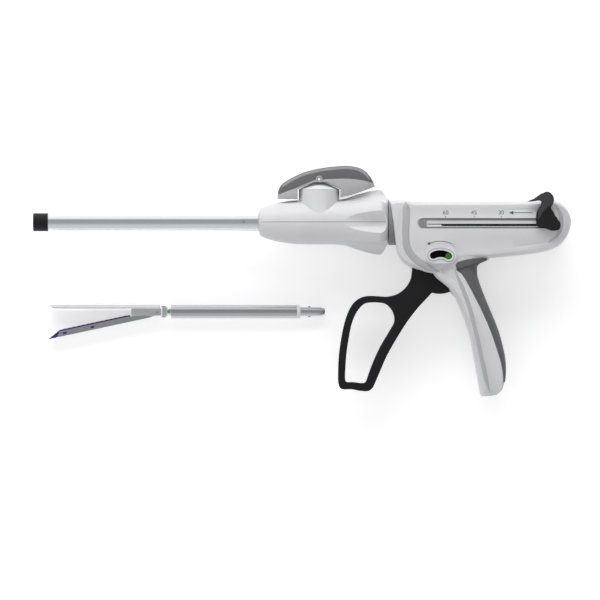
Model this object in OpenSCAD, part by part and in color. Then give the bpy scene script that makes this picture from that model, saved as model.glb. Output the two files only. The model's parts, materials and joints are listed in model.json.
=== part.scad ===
// Endoscopic stapler: a ratchet handle with a rotating, articulating shaft, and a stapling reload beside it.
// It lies on its left-to-right side: the shaft points along -X, the top of the handle along +Y, and Z is up.
// Each module is drawn round the shaft axis, with x = 0 at the rear face of the rotation knob.

/* [Shaft] */
// Outer diameter of the shaft tube
shaft_diameter = 12; // [11.5:0.1:12.4]
// Length from the front of the rotation knob to the open tip
shaft_length = 149.5; // [120:0.5:170]
// Wall of the shaft tube
shaft_wall = 0.7; // [0.5:0.1:0.9]
// Length of the dark collar at the tip
tip_collar_length = 9.9; // [8:0.1:14]
// Bore of the tip collar, which takes the nose of a reload
socket_diameter = 6.5; // [6.2:0.1:7.5]
// Length of the sleeve where the shaft enters the knob
neck_length = 12.2; // [8:0.2:16]
// Wall of that sleeve
neck_wall = 0.35; // [0.3:0.05:0.6]

/* [Rotation knob] */
// Length of the knob along the shaft
knob_length = 85.1; // [80:0.5:90]
// Largest radius, on the ridges between the finger flutes
knob_radius = 21.5; // [20:0.5:22.5]
// Number of finger flutes round the knob
flute_count = 6; // [6:6:12]
// Radius of each flute
flute_radius = 8; // [6:0.1:8.4]
// Wall of the two moulded knob halves
knob_wall = 2.6; // [2:0.1:3]
// Radius of the turret that carries the articulation lever
turret_radius = 13.4; // [12.5:0.1:14]
// Height of the turret's rim above the shaft axis
turret_height = 21.8; // [20.5:0.1:23]
// Height of the cone on top of the turret
turret_cap_height = 4.1; // [3:0.1:5]

/* [Articulation lever] */
// Length of the lever
lever_length = 64.4; // [60:0.2:66]
// Height of the lever from the foot of its arms to its crown
lever_height = 22.4; // [21:0.2:25]
// Width of the lever
lever_width = 19; // [14:0.5:22]
// Radius of the post that turns with the lever
post_radius = 3.5; // [3:0.1:4]
// Distance from the post to the crank pin that moves the articulation rod
crank_throw = 5; // [4:0.1:5.5]

/* [Housing] */
// Length of the housing along the shaft
housing_length = 119.8; // [112:0.2:130]
// Height of the barrel above the shaft axis
barrel_rise = 13.86; // [13:0.1:16]
// Depth of the barrel below the shaft axis
barrel_drop = 23.96; // [22.5:0.1:26]
// Width across the rims of the two barrel halves
barrel_width = 30; // [28:0.5:34]
// Crown of the side panels
panel_crown = 2.6; // [1.5:0.1:3]
// Depth of the step from rim to side panel
panel_step = 0.7; // [0.4:0.1:1]
// Length of the grip below the barrel
grip_length = 91.3; // [80:0.5:110]
// Width across the two grip halves
grip_width = 31; // [28:0.5:33]
// Thickness of the soft grip pad
pad_thickness = 2; // [1.5:0.1:2.6]

/* [Trigger] */
// Depth from the trigger pivot to the foot of the finger loop
trigger_reach = 80.8; // [70:0.5:90]
// Distance from the trigger pivot forward to the front of the loop
trigger_span = 67.2; // [60:0.5:72]
// Thickness of the trigger
trigger_thickness = 14; // [10:0.5:15]
// Radius of the trigger hub round its pivot
hub_radius = 16.5; // [15.5:0.1:17]
// Radius of the trigger pin
trigger_pin_radius = 2.5; // [2:0.1:3]

/* [Firing rack] */
// Radius of the round firing rack
rack_radius = 4.4; // [4.2:0.1:4.5]
// Pitch of the ratchet teeth
tooth_pitch = 3; // [2.4:0.2:4]
// Depth of the ratchet teeth
tooth_depth = 1.4; // [1:0.1:1.6]
// Distance that the rack moves to fire a full reload
firing_stroke = 75; // [60:1:76]
// Radius of the control rod in the shaft
control_rod_radius = 1.5; // [1.2:0.1:1.8]

/* [Return knobs] */
// Distance of each return knob's outer face from the middle plane
return_knob_reach = 20.5; // [19:0.1:21.5]
// Height of each return knob's wing
wing_height = 25.7; // [22:0.1:28]
// Length of each return knob's wing
wing_length = 21.5; // [18:0.1:22]
// Height of the narrow slot that the return knobs run in
slot_height = 1.7; // [1.4:0.1:2.2]

/* [Firing safety] */
// Radius of the curved slot round the trigger pivot
safety_radius = 10; // [9.5:0.1:10.5]
// Width of that slot
safety_slot_width = 4.6; // [4:0.1:5]
// Angle between the slot's two ends
safety_travel = 61; // [50:1:66]

/* [Reload] */
// Diameter of the reload's tube
reload_diameter = 9; // [8:0.1:9.4]
// Diameter of the nose that enters the shaft
nose_diameter = 6.1; // [5.6:0.1:6.1]
// Length of the nose
nose_length = 17.2; // [15:0.1:20]
// Length of the reload's tube
reload_tube_length = 83.7; // [60:0.5:100]
// Distance from the jaw pivot to the tip of the cartridge
jaw_length = 74.6; // [60:0.2:90]
// Angle at which the jaws stand open
jaw_angle = 12.1; // [6:0.1:14]
// Distance of the reload's axis below the shaft axis as the pair lies side by side
reload_offset = 59.2; // [50:0.5:70]

/* [Hidden] */

$fn = 96;

// Clearances and small shared sizes
running_fit = 0.05;
seat_gap = 0.1;
moving_gap = 0.4;
overrun = 1;
spline_steps = 3;

// Places along the shaft
housing_gap = 1.2;
housing_front = housing_gap;
housing_rear = housing_front + housing_length;
knob_front = -knob_length;
tip_face = knob_front - shaft_length;
shaft_radius = shaft_diameter / 2;
shaft_bore_radius = shaft_radius - shaft_wall;
barrel_half = barrel_width / 2;
grip_half = grip_width / 2;
barrel_side = barrel_half - panel_step + panel_crown;

// Place of the whole pair: its box is centred on the origin and stands on z = 0
lever_foot_share = 0.503;
lever_floor = turret_height + turret_cap_height - lever_height * lever_foot_share;
lever_crown = lever_floor + lever_height;
grip_foot = -(barrel_drop + grip_length);
centre_x = (tip_face + housing_rear) / 2;
centre_y = (lever_crown + grip_foot) / 2;
flute_depth_share = 0.716;
flute_centre = knob_radius * flute_depth_share + flute_radius;
ridge_height = (knob_radius ^ 2 + flute_centre ^ 2 - flute_radius ^ 2) / (2 * flute_centre);
table_height = max(return_knob_reach, ridge_height);

// Housing outlines. Stations of the barrel run from its top edge to its bottom edge:
// top x and bottom x are shares of the housing's length from its front,
// top y a share of the rise, bottom y a share of the drop, then the share of the half width
// and the share of the panel's step at that station.
barrel_shares = [
    [0.002, 0.88, 0.032, 0.58, 0.90, 0],
    [0.008, 0.99, 0.043, 0.84, 0.98, 0],
    [0.029, 1.05, 0.066, 1.07, 1.00, 0],
    [0.062, 1.07, 0.108, 1.23, 1.00, 0.2],
    [0.095, 1.05, 0.155, 1.32, 1.00, 1],
    [0.128, 0.99, 0.210, 1.41, 1.00, 1],
    [0.190, 0.98, 0.265, 1.42, 1.00, 1],
    [0.277, 0.98, 0.330, 1.20, 1.00, 1],
    [0.365, 0.98, 0.392, 1.06, 1.00, 1],
    [0.453, 0.98, 0.458, 1.00, 1.00, 1],
    [0.563, 0.98, 0.563, 0.99, 1.00, 1],
    [0.673, 0.99, 0.668, 0.94, 1.00, 1],
    [0.783, 1.02, 0.776, 0.88, 1.00, 1],
    [0.861, 1.07, 0.850, 0.82, 1.00, 1],
    [0.910, 1.05, 0.902, 0.74, 0.99, 0.8],
    [0.949, 0.88, 0.941, 0.63, 0.94, 0.3],
    [0.976, 0.64, 0.971, 0.45, 0.84, 0],
    [0.993, 0.38, 0.989, 0.27, 0.68, 0],
    [1.000, 0.12, 0.999, 0.11, 0.50, 0]
];
// Stations of the grip run from its front edge to its rear edge: front x, front y, rear x, rear y,
// the share of the station where the pad begins, and the share of the half width.
// The x shares are of the housing's length, the y shares of the grip's length below the barrel.
grip_shares = [
    [0.210, -0.030, 0.574, 0.050, 0.50, 0.93],
    [0.238, -0.124, 0.554, -0.003, 0.41, 0.94],
    [0.285, -0.180, 0.491, -0.045, 0.545, 0.95],
    [0.321, -0.220, 0.483, -0.099, 0.605, 0.96],
    [0.365, -0.294, 0.494, -0.168, 0.64, 0.97],
    [0.388, -0.363, 0.524, -0.273, 0.69, 0.98],
    [0.414, -0.453, 0.554, -0.369, 0.73, 1.00],
    [0.442, -0.569, 0.594, -0.497, 0.758, 1.00],
    [0.456, -0.663, 0.618, -0.598, 0.785, 0.99],
    [0.472, -0.779, 0.638, -0.721, 0.84, 0.97],
    [0.486, -0.880, 0.642, -0.815, 0.89, 0.94],
    [0.495, -0.952, 0.636, -0.894, 0.93, 0.88],
    [0.500, -0.985, 0.623, -0.949, 0.94, 0.80],
    [0.511, -1.000, 0.591, -0.988, 0.95, 0.66]
];
pad_first = 1;
pad_last = 11;
seat_ramp_share = 0.04;
edge_round = 4.6;
grip_edge_round = 6;
edge_steps = 5;
edge_power_share = 0.6;
crease_width = 1.2;
barrel_base = overrun;
grip_base = 2 * overrun;

// Trigger pivot, which the safety slot and the pawls are measured from
pivot = [housing_front + housing_length * 0.2766, -barrel_drop * 1.292];
trigger_half = trigger_thickness / 2;
trigger_room = trigger_half + moving_gap;
hub_clearance = 2.9;
hub_room_radius = hub_radius + hub_clearance;
trigger_pin_end = 5.5;
trigger_pin_length = 2 * (trigger_half + trigger_pin_end);

// Outer edge of the trigger, as shares of its span and its reach from the pivot
trigger_shares = [
    [-0.200, 0.110], [-0.262, 0.056], [-0.274, -0.029], [-0.287, -0.087], [-0.335, -0.154],
    [-0.414, -0.204], [-0.511, -0.226], [-0.607, -0.223], [-0.712, -0.221], [-0.791, -0.241],
    [-0.861, -0.292], [-0.914, -0.380], [-0.949, -0.482], [-0.975, -0.598], [-0.993, -0.715],
    [-1.000, -0.832], [-0.997, -0.938], [-0.965, -0.982], [-0.870, -0.984], [-0.791, -0.996],
    [-0.712, -1.000], [-0.665, -0.976], [-0.636, -0.930], [-0.589, -0.839], [-0.520, -0.708],
    [-0.431, -0.577], [-0.326, -0.438], [-0.212, -0.314], [-0.089, -0.204], [0, -0.100]
];
// Opening of the finger loop, in the same shares
loop_shares = [
    [-0.650, -0.274], [-0.730, -0.281], [-0.782, -0.314], [-0.831, -0.373], [-0.870, -0.460],
    [-0.896, -0.569], [-0.918, -0.694], [-0.929, -0.817], [-0.931, -0.900], [-0.912, -0.926],
    [-0.853, -0.927], [-0.773, -0.935], [-0.732, -0.928], [-0.712, -0.890], [-0.668, -0.788],
    [-0.589, -0.642], [-0.475, -0.482], [-0.449, -0.438], [-0.447, -0.394], [-0.467, -0.343],
    [-0.511, -0.299], [-0.563, -0.279]
];

// Pawls
pawl_thickness = 4;
pawl_gap = 0.35;
pawl_eye_radius = 3;
pawl_pin_radius = 1.5;
pawl_tip_width = 2.2;
drive_pawl_arm = 13.2;
drive_pawl_angle = 50;
drive_pawl_pivot = pivot + drive_pawl_arm * [cos(drive_pawl_angle), sin(drive_pawl_angle)];
drive_pawl_reach = 6;
holding_pawl_place = [28, 14.3];
holding_pawl_pivot = pivot + holding_pawl_place;
holding_pawl_reach = 11;
holding_pin_length = 16;

// Rack, slot and return knobs
rack_nose = 1.2;
rack_tail = 4;
rack_gap = 0.9;
rack_room_ahead = 10;
rack_room_behind = 7;
slot_clearance = 0.25;
slot_y = -2.1;
slot_recess_height = 6.8;
slot_recess_depth = 1.7;
slot_recess_rise = 1.2;
slot_recess_front = housing_front + housing_length * 0.148;
slot_recess_rear = housing_front + housing_length * 0.930;
return_rest = housing_front + housing_length * 0.8606;
stem_length = 5;
stem_height = slot_height - 2 * slot_clearance;
slot_front = return_rest - firing_stroke - stem_length / 2 - moving_gap;
slot_rear = return_rest + stem_length / 2 + moving_gap;
rack_room_half = rack_radius + rack_gap;
rack_room_front = housing_front + rack_room_ahead;
rack_room_rear = return_rest + rack_room_behind;
rack_front = drive_pawl_pivot[0] - drive_pawl_reach - rack_nose;
rack_rear = return_rest + rack_tail;
rack_flat = rack_radius * 0.8;
crosspiece_width = 6;
wing_gap = 0.5;
// Edge of a return knob's wing, as shares of its length and height from the stem
wing_shares = [
    [-0.60, 0.60], [-0.31, 0.70], [-0.08, 0.835], [0.06, 0.845], [0.17, 0.77], [0.22, 0.66],
    [0.19, 0.545], [0.12, 0.44], [0.20, 0.33], [0.29, 0.19], [0.40, 0.075], [0.42, -0.03],
    [0.36, -0.125], [0.15, -0.15], [-0.03, -0.095], [-0.24, -0.075], [-0.32, 0.045],
    [-0.33, 0.22], [-0.285, 0.375], [-0.19, 0.505], [-0.17, 0.60], [-0.25, 0.625], [-0.43, 0.605]
];

// Firing safety
safety_start = 57;
arc_steps = 24;
cap_steps = 10;
safety_arm_thickness = 2;
safety_floor = trigger_room;
safety_hub_wall = 2;
safety_play = 0.2;
safety_button_radius = safety_slot_width / 2 - safety_play;
bezel_length = 20.3;
bezel_width = 12.1;
bezel_rise = 0.8;
bezel_depth = 6.5;
bezel_drop = 0.3;
bezel_middle = safety_start + safety_travel / 2;
bezel_centre = pivot + (safety_radius - bezel_drop) * [cos(bezel_middle), sin(bezel_middle)];

// Rotation knob profile: share of its length from the front, share of its largest radius
knob_shares = [
    [0, 0.37], [0.008, 0.415], [0.023, 0.455], [0.085, 0.545], [0.171, 0.619], [0.287, 0.675],
    [0.42, 0.686], [0.56, 0.686], [0.635, 0.70], [0.69, 0.75], [0.75, 0.835], [0.81, 0.905],
    [0.87, 0.963], [0.93, 1.0], [0.953, 0.97], [0.975, 0.86], [0.99, 0.74], [1.0, 0.66]
];
knob_spline_steps = 2;
slim_share = 0.686;
turret_x = knob_front + knob_length * 0.4667;
journal_step = 0.2;
journal_radius = shaft_radius - journal_step;
journal_start = knob_front - neck_length - running_fit * 6;
retainer_lip = 2.2;
retainer_radius = shaft_radius + retainer_lip;
retainer_length = 2.5;
shaft_insert = 8.2;
shaft_rear = housing_front + shaft_insert;
knob_front_wall = 10;
knob_rear_wall = 9;
knob_taper = 16;
knob_flare = 20;
knob_room_front = knob_front + knob_front_wall;
knob_room_rear = -knob_rear_wall;
articulation_angle = 45;

// Articulation drive
crank_plate_thickness = 1.8;
crank_pin_radius = 1;
yoke_thickness = 1.6;
yoke_wall = 1.4;
yoke_end = 1;
yoke_play = 0.35;
crank_gap = 0.3;
yoke_floor = shaft_radius + yoke_play;
crank_floor = yoke_floor + yoke_thickness + crank_gap;
articulation_stroke = crank_throw * sin(articulation_angle);
rod_height = 1.6;
rod_width = 2.6;
rod_drop = 0.45;
rod_top = shaft_bore_radius - rod_drop;
rod_stem = 4;
rod_setback = 4;
control_rod_setback = 6;
lever_pin_rise = 6.6;
lever_pin_height = turret_height + lever_pin_rise;
lever_pin_radius = 1.5;
lever_pin_bore_radius = 0.9;
lever_boss_radius = 2.2;
lever_arm_gap = 0.8;

// Side profile of the lever: share of its length from the post, share of its height from its foot
lever_top_shares = [
    [-0.427, 0.144], [-0.421, 0.26], [-0.402, 0.39], [-0.368, 0.497], [-0.292, 0.632],
    [-0.164, 0.803], [0.005, 0.924], [0.175, 0.985], [0.290, 1.0], [0.387, 0.962], [0.464, 0.862],
    [0.524, 0.679], [0.561, 0.497]
];
lever_border_shares = [
    [-0.427, 0.144], [-0.330, 0.255], [-0.215, 0.375], [-0.079, 0.548], [-0.020, 0.588], [0.048, 0.602],
    [0.175, 0.622], [0.303, 0.624], [0.43, 0.582], [0.561, 0.497]
];

// Reload, measured along its own axis from the jaw pivot
reload_radius = reload_diameter / 2;
jaw_setback = 67.94;
jaw_pivot_x = knob_front - jaw_setback;
jaw_pivot_drop = 0.53;
wrist_x = 4.5;
wrist_pin_radius = 0.7;
bar_half = 1.3;
bar_reach = reload_radius * 0.62;
cone_length = 2.9;
cone_plug = 6;
tab_floor = bar_reach + seat_gap;
tab_thickness = 1;
tab_radius = 1.6;
web_front = 1.95;
web_thickness = 0.85;
tube_start = 9.3;
ring_length = 2.2;
tube_wall = 0.7;
bracket_length = 17.2;
anvil_reach = 1.9;
anvil_setback = 2;
anvil_tip = 4;
bracket_half_height = 2.2;
cheek_thickness = 0.9;
cheek_inner = 3.5;
anvil_floor = 2.0;
anvil_seat_gap = 0.02;
anvil_thickness = 2.4;
knife_slot = 0.9;
jaw_pin_radius = 0.9;
channel_half = 3.2;
channel_wall = 0.5;
channel_floor = -2.3;
channel_top = 1.35;
cartridge_top = 2.15;
channel_setback = 5.7;
channel_slope = 3;
channel_mouth = 20;
channel_step = 16;
channel_rear_top = 1;
channel_tail = 1.2;
channel_heel = 6;
cartridge_half = channel_half - channel_wall - running_fit;
cartridge_floor = channel_floor + channel_wall + running_fit;
cartridge_setback = 8.7;
cartridge_rear = 18.2;
cartridge_toe = 5;
cartridge_step = 6.2;
knife_depth = 0.5;
nub_radius = 0.8;
nub_rise = 0.7;
nub_place = 6;
nose_insert = 12;
nose_taper = 4;
nose_round = 1.5;
socket_slot_depth = 5.8;

// Point on a smooth curve between b and c, with a before and d after
function curve_point(a, b, c, d, t) =
    0.5 * (2 * b + (c - a) * t + (2 * a - 5 * b + 4 * c - d) * t * t + (3 * b - a - 3 * c + d) * t * t * t);
function smooth_open(p, steps) = concat(
    [for (i = [0 : len(p) - 2]) for (k = [0 : steps - 1])
        curve_point(p[max(i - 1, 0)], p[i], p[i + 1], p[min(i + 2, len(p) - 1)], k / steps)],
    [p[len(p) - 1]]);
function smooth_closed(p, steps) =
    [for (i = [0 : len(p) - 1]) for (k = [0 : steps - 1])
        curve_point(p[(i + len(p) - 1) % len(p)], p[i], p[(i + 1) % len(p)], p[(i + 2) % len(p)], k / steps)];
function scaled(shares, x, y) = [for (s = shares) [s[0] * x, s[1] * y]];
function reversed(p) = [for (i = [len(p) - 1 : -1 : 0]) p[i]];
function on_arc(radius, angle) = radius * [cos(angle), sin(angle)];

// Point at distance s along the station from a to b, at height z
function on_station(a, b, s, z) = let (d = (b - a) / norm(b - a)) [a[0] + d[0] * s, a[1] + d[1] * s, z];
// Quarter of a superellipse: distance from the edge and height, from the edge up to the rim
function rounded_edge(depth, rim) =
    [for (i = [0 : edge_steps]) let (angle = 90 * i / edge_steps)
        [depth * (1 - pow(cos(angle), edge_power_share)), rim * pow(sin(angle), edge_power_share)]];

function barrel_station(s) = [
    [housing_front + s[0] * housing_length, s[1] * barrel_rise],
    [housing_front + s[2] * housing_length, -s[3] * barrel_drop], s[4] * barrel_half, s[5]];
function barrel_section(s, base) = let (
    station = barrel_station(s), a = station[0], b = station[1], rim = station[2],
    span = norm(b - a), depth = min(edge_round, span * 0.36), crease = min(crease_width, span * 0.05),
    step = panel_step * station[3], crown = panel_crown * min(1, span / barrel_drop) * max(0.2, station[3]),
    edge = rounded_edge(depth, rim),
    side = concat(edge, [[depth + crease, rim - step + crown * 0.14], [span * 0.34, rim - step + crown * 0.88]]),
    half = [for (q = side) on_station(a, b, q[0], q[1])],
    other = [for (q = reversed(side)) on_station(b, a, q[0], q[1])])
    concat([on_station(a, b, 0, -base)], half, [on_station(a, b, span / 2, rim - step + crown)], other,
        [on_station(b, a, 0, -base)]);

function grip_station(s) = [
    [housing_front + s[0] * housing_length, -barrel_drop + s[1] * grip_length],
    [housing_front + s[2] * housing_length, -barrel_drop + s[3] * grip_length],
    s[4], s[5] * grip_half];
// Thickness left for the pad at one station
function pad_depth(s) = let (station = grip_station(s))
    min(pad_thickness, (1 - station[2]) * norm(station[1] - station[0]) * 0.55);
function grip_front(s) = let (
    station = grip_station(s), a = station[0], b = station[1], rim = station[3], span = norm(b - a),
    ridge = station[2] * span, depth = min(grip_edge_round, ridge * 0.45))
    concat(rounded_edge(depth, rim - panel_step * 0.5),
        [[depth + crease_width * 0.7, rim - panel_step * 1.1],
            [(depth + ridge) / 2, rim - panel_step * 0.8], [ridge - crease_width * 0.8, rim]]);
// Rear flank of the grip from the pad's border to the rear edge, drawn in by an inset
function grip_rear(s, inset) = let (
    station = grip_station(s), span = norm(station[1] - station[0]), ridge = station[2] * span,
    rim = station[3] - inset, width = span - ridge - inset)
    [for (i = [0 : edge_steps]) let (angle = 90 * i / edge_steps)
        [ridge + width * pow(sin(angle), 0.8), rim * pow(cos(angle), 0.8)]];
function grip_section(s, inset, base) = let (
    station = grip_station(s), a = station[0], b = station[1],
    side = concat(grip_front(s), grip_rear(s, inset)))
    concat([on_station(a, b, 0, -base)], [for (q = side) on_station(a, b, q[0], q[1])],
        [on_station(a, b, norm(b - a) - inset, -base)]);
// Closed section of the pad: out along the outer flank on one side, round, and back along the inner flank
function pad_section(s) = let (
    station = grip_station(s), a = station[0], b = station[1],
    outer = grip_rear(s, 0), inner = grip_rear(s, pad_depth(s) - seat_gap),
    shift = seat_gap, last = edge_steps - 1)
    concat([for (q = outer) on_station(a, b, q[0] + shift, q[1])],
        [for (i = [last : -1 : 0]) on_station(a, b, outer[i][0] + shift, -outer[i][1])],
        [for (i = [0 : edge_steps]) on_station(a, b, inner[i][0] + shift, -inner[i][1])],
        [for (i = [last : -1 : 0]) on_station(a, b, inner[i][0] + shift, inner[i][1])]);

// Triangles that close a section, as rungs between its first points and its last ones
function rungs(count) = [for (i = [0 : floor(count / 2) - 1]) let (j = count - 1 - i)
    for (half = [0 : (j - 1 > i + 1 ? 1 : 0)]) half == 0 ? [i, i + 1, j] : [i + 1, j - 1, j]];
// Solid through a row of closed sections with equal numbers of points
module loft(sections) {
    count = len(sections[0]);
    last = len(sections) - 1;
    points = [for (section = sections) for (p = section) p];
    sides = [for (k = [0 : last - 1]) for (i = [0 : count - 1]) let (j = (i + 1) % count)
        for (half = [0, 1]) half == 0
            ? [k * count + i, k * count + j, (k + 1) * count + i]
            : [k * count + j, (k + 1) * count + j, (k + 1) * count + i]];
    cap = rungs(count);
    polyhedron(points, concat(sides, [for (face = cap) reversed(face)],
        [for (face = cap) [for (i = face) last * count + i]]));
}

// Round bar or bore along X
module along_x(radius, from, to) {
    translate([from, 0, 0]) rotate([0, 90, 0]) cylinder(r = radius, h = to - from);
}
// Round bar or bore along Y
module along_y(radius, from, to) {
    translate([0, from, 0]) rotate([-90, 0, 0]) cylinder(r = radius, h = to - from);
}
// Solid of revolution round the shaft axis, from points of [x, radius]
module turned(points) {
    rotate([0, 90, 0]) rotate_extrude() polygon([for (p = points) [p[1], p[0]]]);
}
module box(from, to) {
    translate(from) cube(to - from);
}
// Long hole with round ends in the XY plane
module long_hole(from, to, width, low, high) {
    box([from[0] + width / 2, from[1] - width / 2, low], [to[0] - width / 2, to[1] + width / 2, high]);
    for (x = [from[0] + width / 2, to[0] - width / 2])
        translate([x, from[1], low]) cylinder(d = width, h = high - low);
}
// Curved hole round the trigger pivot with round ends
module arc_hole(width, low, high) {
    first = safety_start;
    last = safety_start + safety_travel;
    translate([pivot[0], pivot[1], low]) linear_extrude(high - low) polygon(concat(
        [for (i = [0 : arc_steps]) on_arc(safety_radius + width / 2, first + safety_travel * i / arc_steps)],
        [for (i = [1 : cap_steps - 1]) on_arc(safety_radius, last) + on_arc(width / 2, last + 180 * i / cap_steps)],
        [for (i = [0 : arc_steps]) on_arc(safety_radius - width / 2, last - safety_travel * i / arc_steps)],
        [for (i = [1 : cap_steps - 1]) on_arc(safety_radius, first) - on_arc(width / 2, first + 180 * i / cap_steps)]));
}
// The pair as it lies: the box centred on the origin, the lowest point on z = 0
module laid() {
    translate([-centre_x, -centre_y, table_height]) children();
}
module reload_laid() {
    translate([jaw_pivot_x - centre_x, -reload_offset - centre_y, reload_radius]) children();
}

// Outer form of the left housing half
module housing_form() {
    stations = smooth_open(barrel_shares, spline_steps);
    loft([for (s = stations) reversed(barrel_section(s, barrel_base))]);
    grip = smooth_open(grip_shares, spline_steps);
    first = pad_first * spline_steps;
    seat = grip[first] + (grip[first + 1] - grip[first]) * seat_ramp_share;
    loft(concat([for (i = [0 : first]) grip_section(grip[i], 0, grip_base)],
        [grip_section(seat, pad_depth(seat), grip_base)],
        [for (i = [first + 1 : len(grip) - 1]) grip_section(grip[i], pad_depth(grip[i]), grip_base)]));
}

// Room inside one half, from below the parting plane upward
module housing_rooms() {
    low = -3 * overrun;
    box([rack_room_front, -rack_room_half, low], [rack_room_rear, rack_room_half, rack_room_half]);
    box([slot_front, slot_y - slot_height / 2, low], [slot_rear, slot_y + slot_height / 2, 2 * barrel_half]);
    translate([pivot[0], pivot[1], low]) cylinder(r = hub_room_radius, h = trigger_room - low);
    translate([pivot[0], pivot[1], low]) cylinder(r = trigger_pin_radius + running_fit,
        h = trigger_pin_length / 2 - low);
    pawl_room_half = pawl_thickness / 2 + moving_gap;
    eye_room = pawl_eye_radius + moving_gap;
    box([pivot[0] - hub_room_radius, holding_pawl_pivot[1] - eye_room, low],
        [holding_pawl_pivot[0] + eye_room, -rack_room_half + overrun, pawl_room_half]);
    translate([holding_pawl_pivot[0], holding_pawl_pivot[1], low]) cylinder(r = pawl_pin_radius + running_fit,
        h = holding_pin_length / 2 - low);
    along_x(journal_radius + running_fit, -overrun, rack_room_front + overrun);
    along_x(retainer_radius + moving_gap, shaft_rear - retainer_length - moving_gap, shaft_rear + moving_gap);
    grip = smooth_open(grip_shares, 1);
    inner = [for (i = [4 : 11]) grip_station(grip[i])];
    front = [for (s = inner) s[0] + (s[1] - s[0]) * 0.2];
    rear = [for (s = inner) s[0] + (s[1] - s[0]) * 0.72];
    translate([0, 0, low]) linear_extrude(grip_half * 0.72 - low) polygon(concat(front, reversed(rear)));
}

module housing_half() {
    difference() {
        housing_form();
        box([housing_front - overrun, 2 * grip_foot, -4 * overrun], [2 * housing_rear, barrel_rise * 2, 0]);
        housing_rooms();
        translate([0, 0, barrel_side - slot_recess_depth])
            long_hole([slot_recess_front, slot_y + slot_recess_rise], [slot_recess_rear, slot_y + slot_recess_rise],
                slot_recess_height, 0, barrel_half);
    }
}

// Raised oval round the safety slot
module safety_bezel() {
    half = [bezel_length / 2, 0];
    top = barrel_side + bezel_rise;
    long_hole(bezel_centre - half, bezel_centre + half, bezel_width, top - bezel_depth, top);
}

module housing_left() {
    color([0.88, 0.88, 0.89]) laid() difference() {
        union() {
            housing_half();
            safety_bezel();
        }
        arc_hole(safety_slot_width, safety_floor - overrun, 2 * barrel_half);
        translate([pivot[0], pivot[1], safety_floor - overrun])
            cylinder(r = safety_radius + safety_slot_width, h = overrun + safety_arm_thickness + moving_gap);
    }
}

module housing_right() {
    color([0.86, 0.86, 0.87]) laid() mirror([0, 0, 1]) housing_half();
}

module grip_pad() {
    grip = smooth_open(grip_shares, spline_steps);
    first = pad_first * spline_steps;
    top = grip[first] + (grip[first + 1] - grip[first]) * 2.5 * seat_ramp_share;
    color([0.37, 0.37, 0.38]) laid() loft(concat([pad_section(top)],
        [for (i = [first + 1 : pad_last * spline_steps]) pad_section(grip[i])]));
}

module bearing_collar() {
    collar_radius = knob_radius * 0.702;
    front_face = barrel_station(barrel_shares[0]);
    slope = (front_face[1] - front_face[0])[0] / (front_face[1] - front_face[0])[1];
    seat = [for (y = [collar_radius, -collar_radius]) front_face[0][0] + (y - front_face[0][1]) * slope - seat_gap];
    color([0.42, 0.42, 0.43]) laid() difference() {
        along_x(collar_radius, moving_gap, max(seat));
        along_x(journal_radius + running_fit, -overrun, housing_rear);
        translate([0, 0, -2 * collar_radius]) linear_extrude(4 * collar_radius) polygon([
            [seat[0], collar_radius], [housing_rear, 2 * collar_radius],
            [housing_rear, -collar_radius], [seat[1], -collar_radius]]);
    }
}

module trigger_pin() {
    color("silver") laid() translate([pivot[0], pivot[1], -trigger_pin_length / 2])
        cylinder(r = trigger_pin_radius, h = trigger_pin_length);
}

module holding_pawl_pin() {
    color("silver") laid() translate([holding_pawl_pivot[0], holding_pawl_pivot[1], -holding_pin_length / 2])
        cylinder(r = pawl_pin_radius, h = holding_pin_length);
}

module trigger() {
    color([0.14, 0.14, 0.15]) laid() translate([pivot[0], pivot[1], 0]) difference() {
        union() {
            translate([0, 0, -trigger_half]) linear_extrude(trigger_thickness)
                polygon(smooth_closed(scaled(trigger_shares, trigger_span, trigger_reach), spline_steps));
            translate([0, 0, -trigger_half]) cylinder(r = hub_radius, h = trigger_thickness);
        }
        translate([0, 0, -trigger_thickness]) linear_extrude(2 * trigger_thickness)
            polygon(smooth_closed(scaled(loop_shares, trigger_span, trigger_reach), spline_steps));
        translate([0, 0, -trigger_thickness]) cylinder(r = trigger_pin_radius + running_fit,
            h = 2 * trigger_thickness);
        fork_half = pawl_thickness / 2 + pawl_gap;
        box([-hub_radius, hub_radius * 0.38, -fork_half], [hub_radius, 2 * hub_radius, fork_half]);
        translate(concat(drive_pawl_pivot - pivot, [-trigger_half])) cylinder(r = pawl_pin_radius + running_fit,
            h = trigger_thickness);
    }
}

module drive_pawl_pin() {
    color("silver") laid() translate([drive_pawl_pivot[0], drive_pawl_pivot[1], -trigger_half])
        cylinder(r = pawl_pin_radius, h = trigger_thickness);
}

// Pawl from its eye forward to a tip just under the rack's teeth
module pawl(pivot_point, reach) {
    tip_y = -rack_flat - pawl_gap;
    tip_x = pivot_point[0] - reach;
    outline = [
        [tip_x, tip_y], [tip_x + pawl_tip_width, tip_y - tooth_depth * 0.6],
        [pivot_point[0] + pawl_eye_radius * 0.6, pivot_point[1] + pawl_eye_radius * 0.8],
        [pivot_point[0] - pawl_eye_radius * 0.5, pivot_point[1] - pawl_eye_radius * 0.85],
        [tip_x + pawl_tip_width * 0.1, tip_y - pawl_tip_width * 1.4]
    ];
    difference() {
        union() {
            translate([0, 0, -pawl_thickness / 2]) linear_extrude(pawl_thickness) polygon(outline);
            translate([pivot_point[0], pivot_point[1], -pawl_thickness / 2])
                cylinder(r = pawl_eye_radius, h = pawl_thickness);
        }
        translate([pivot_point[0], pivot_point[1], -pawl_thickness])
            cylinder(r = pawl_pin_radius + running_fit, h = 2 * pawl_thickness);
    }
}

module drive_pawl() {
    color([0.6, 0.6, 0.62]) laid() pawl(drive_pawl_pivot, drive_pawl_reach);
}

module holding_pawl() {
    color([0.6, 0.6, 0.62]) laid() pawl(holding_pawl_pivot, holding_pawl_reach);
}

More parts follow.
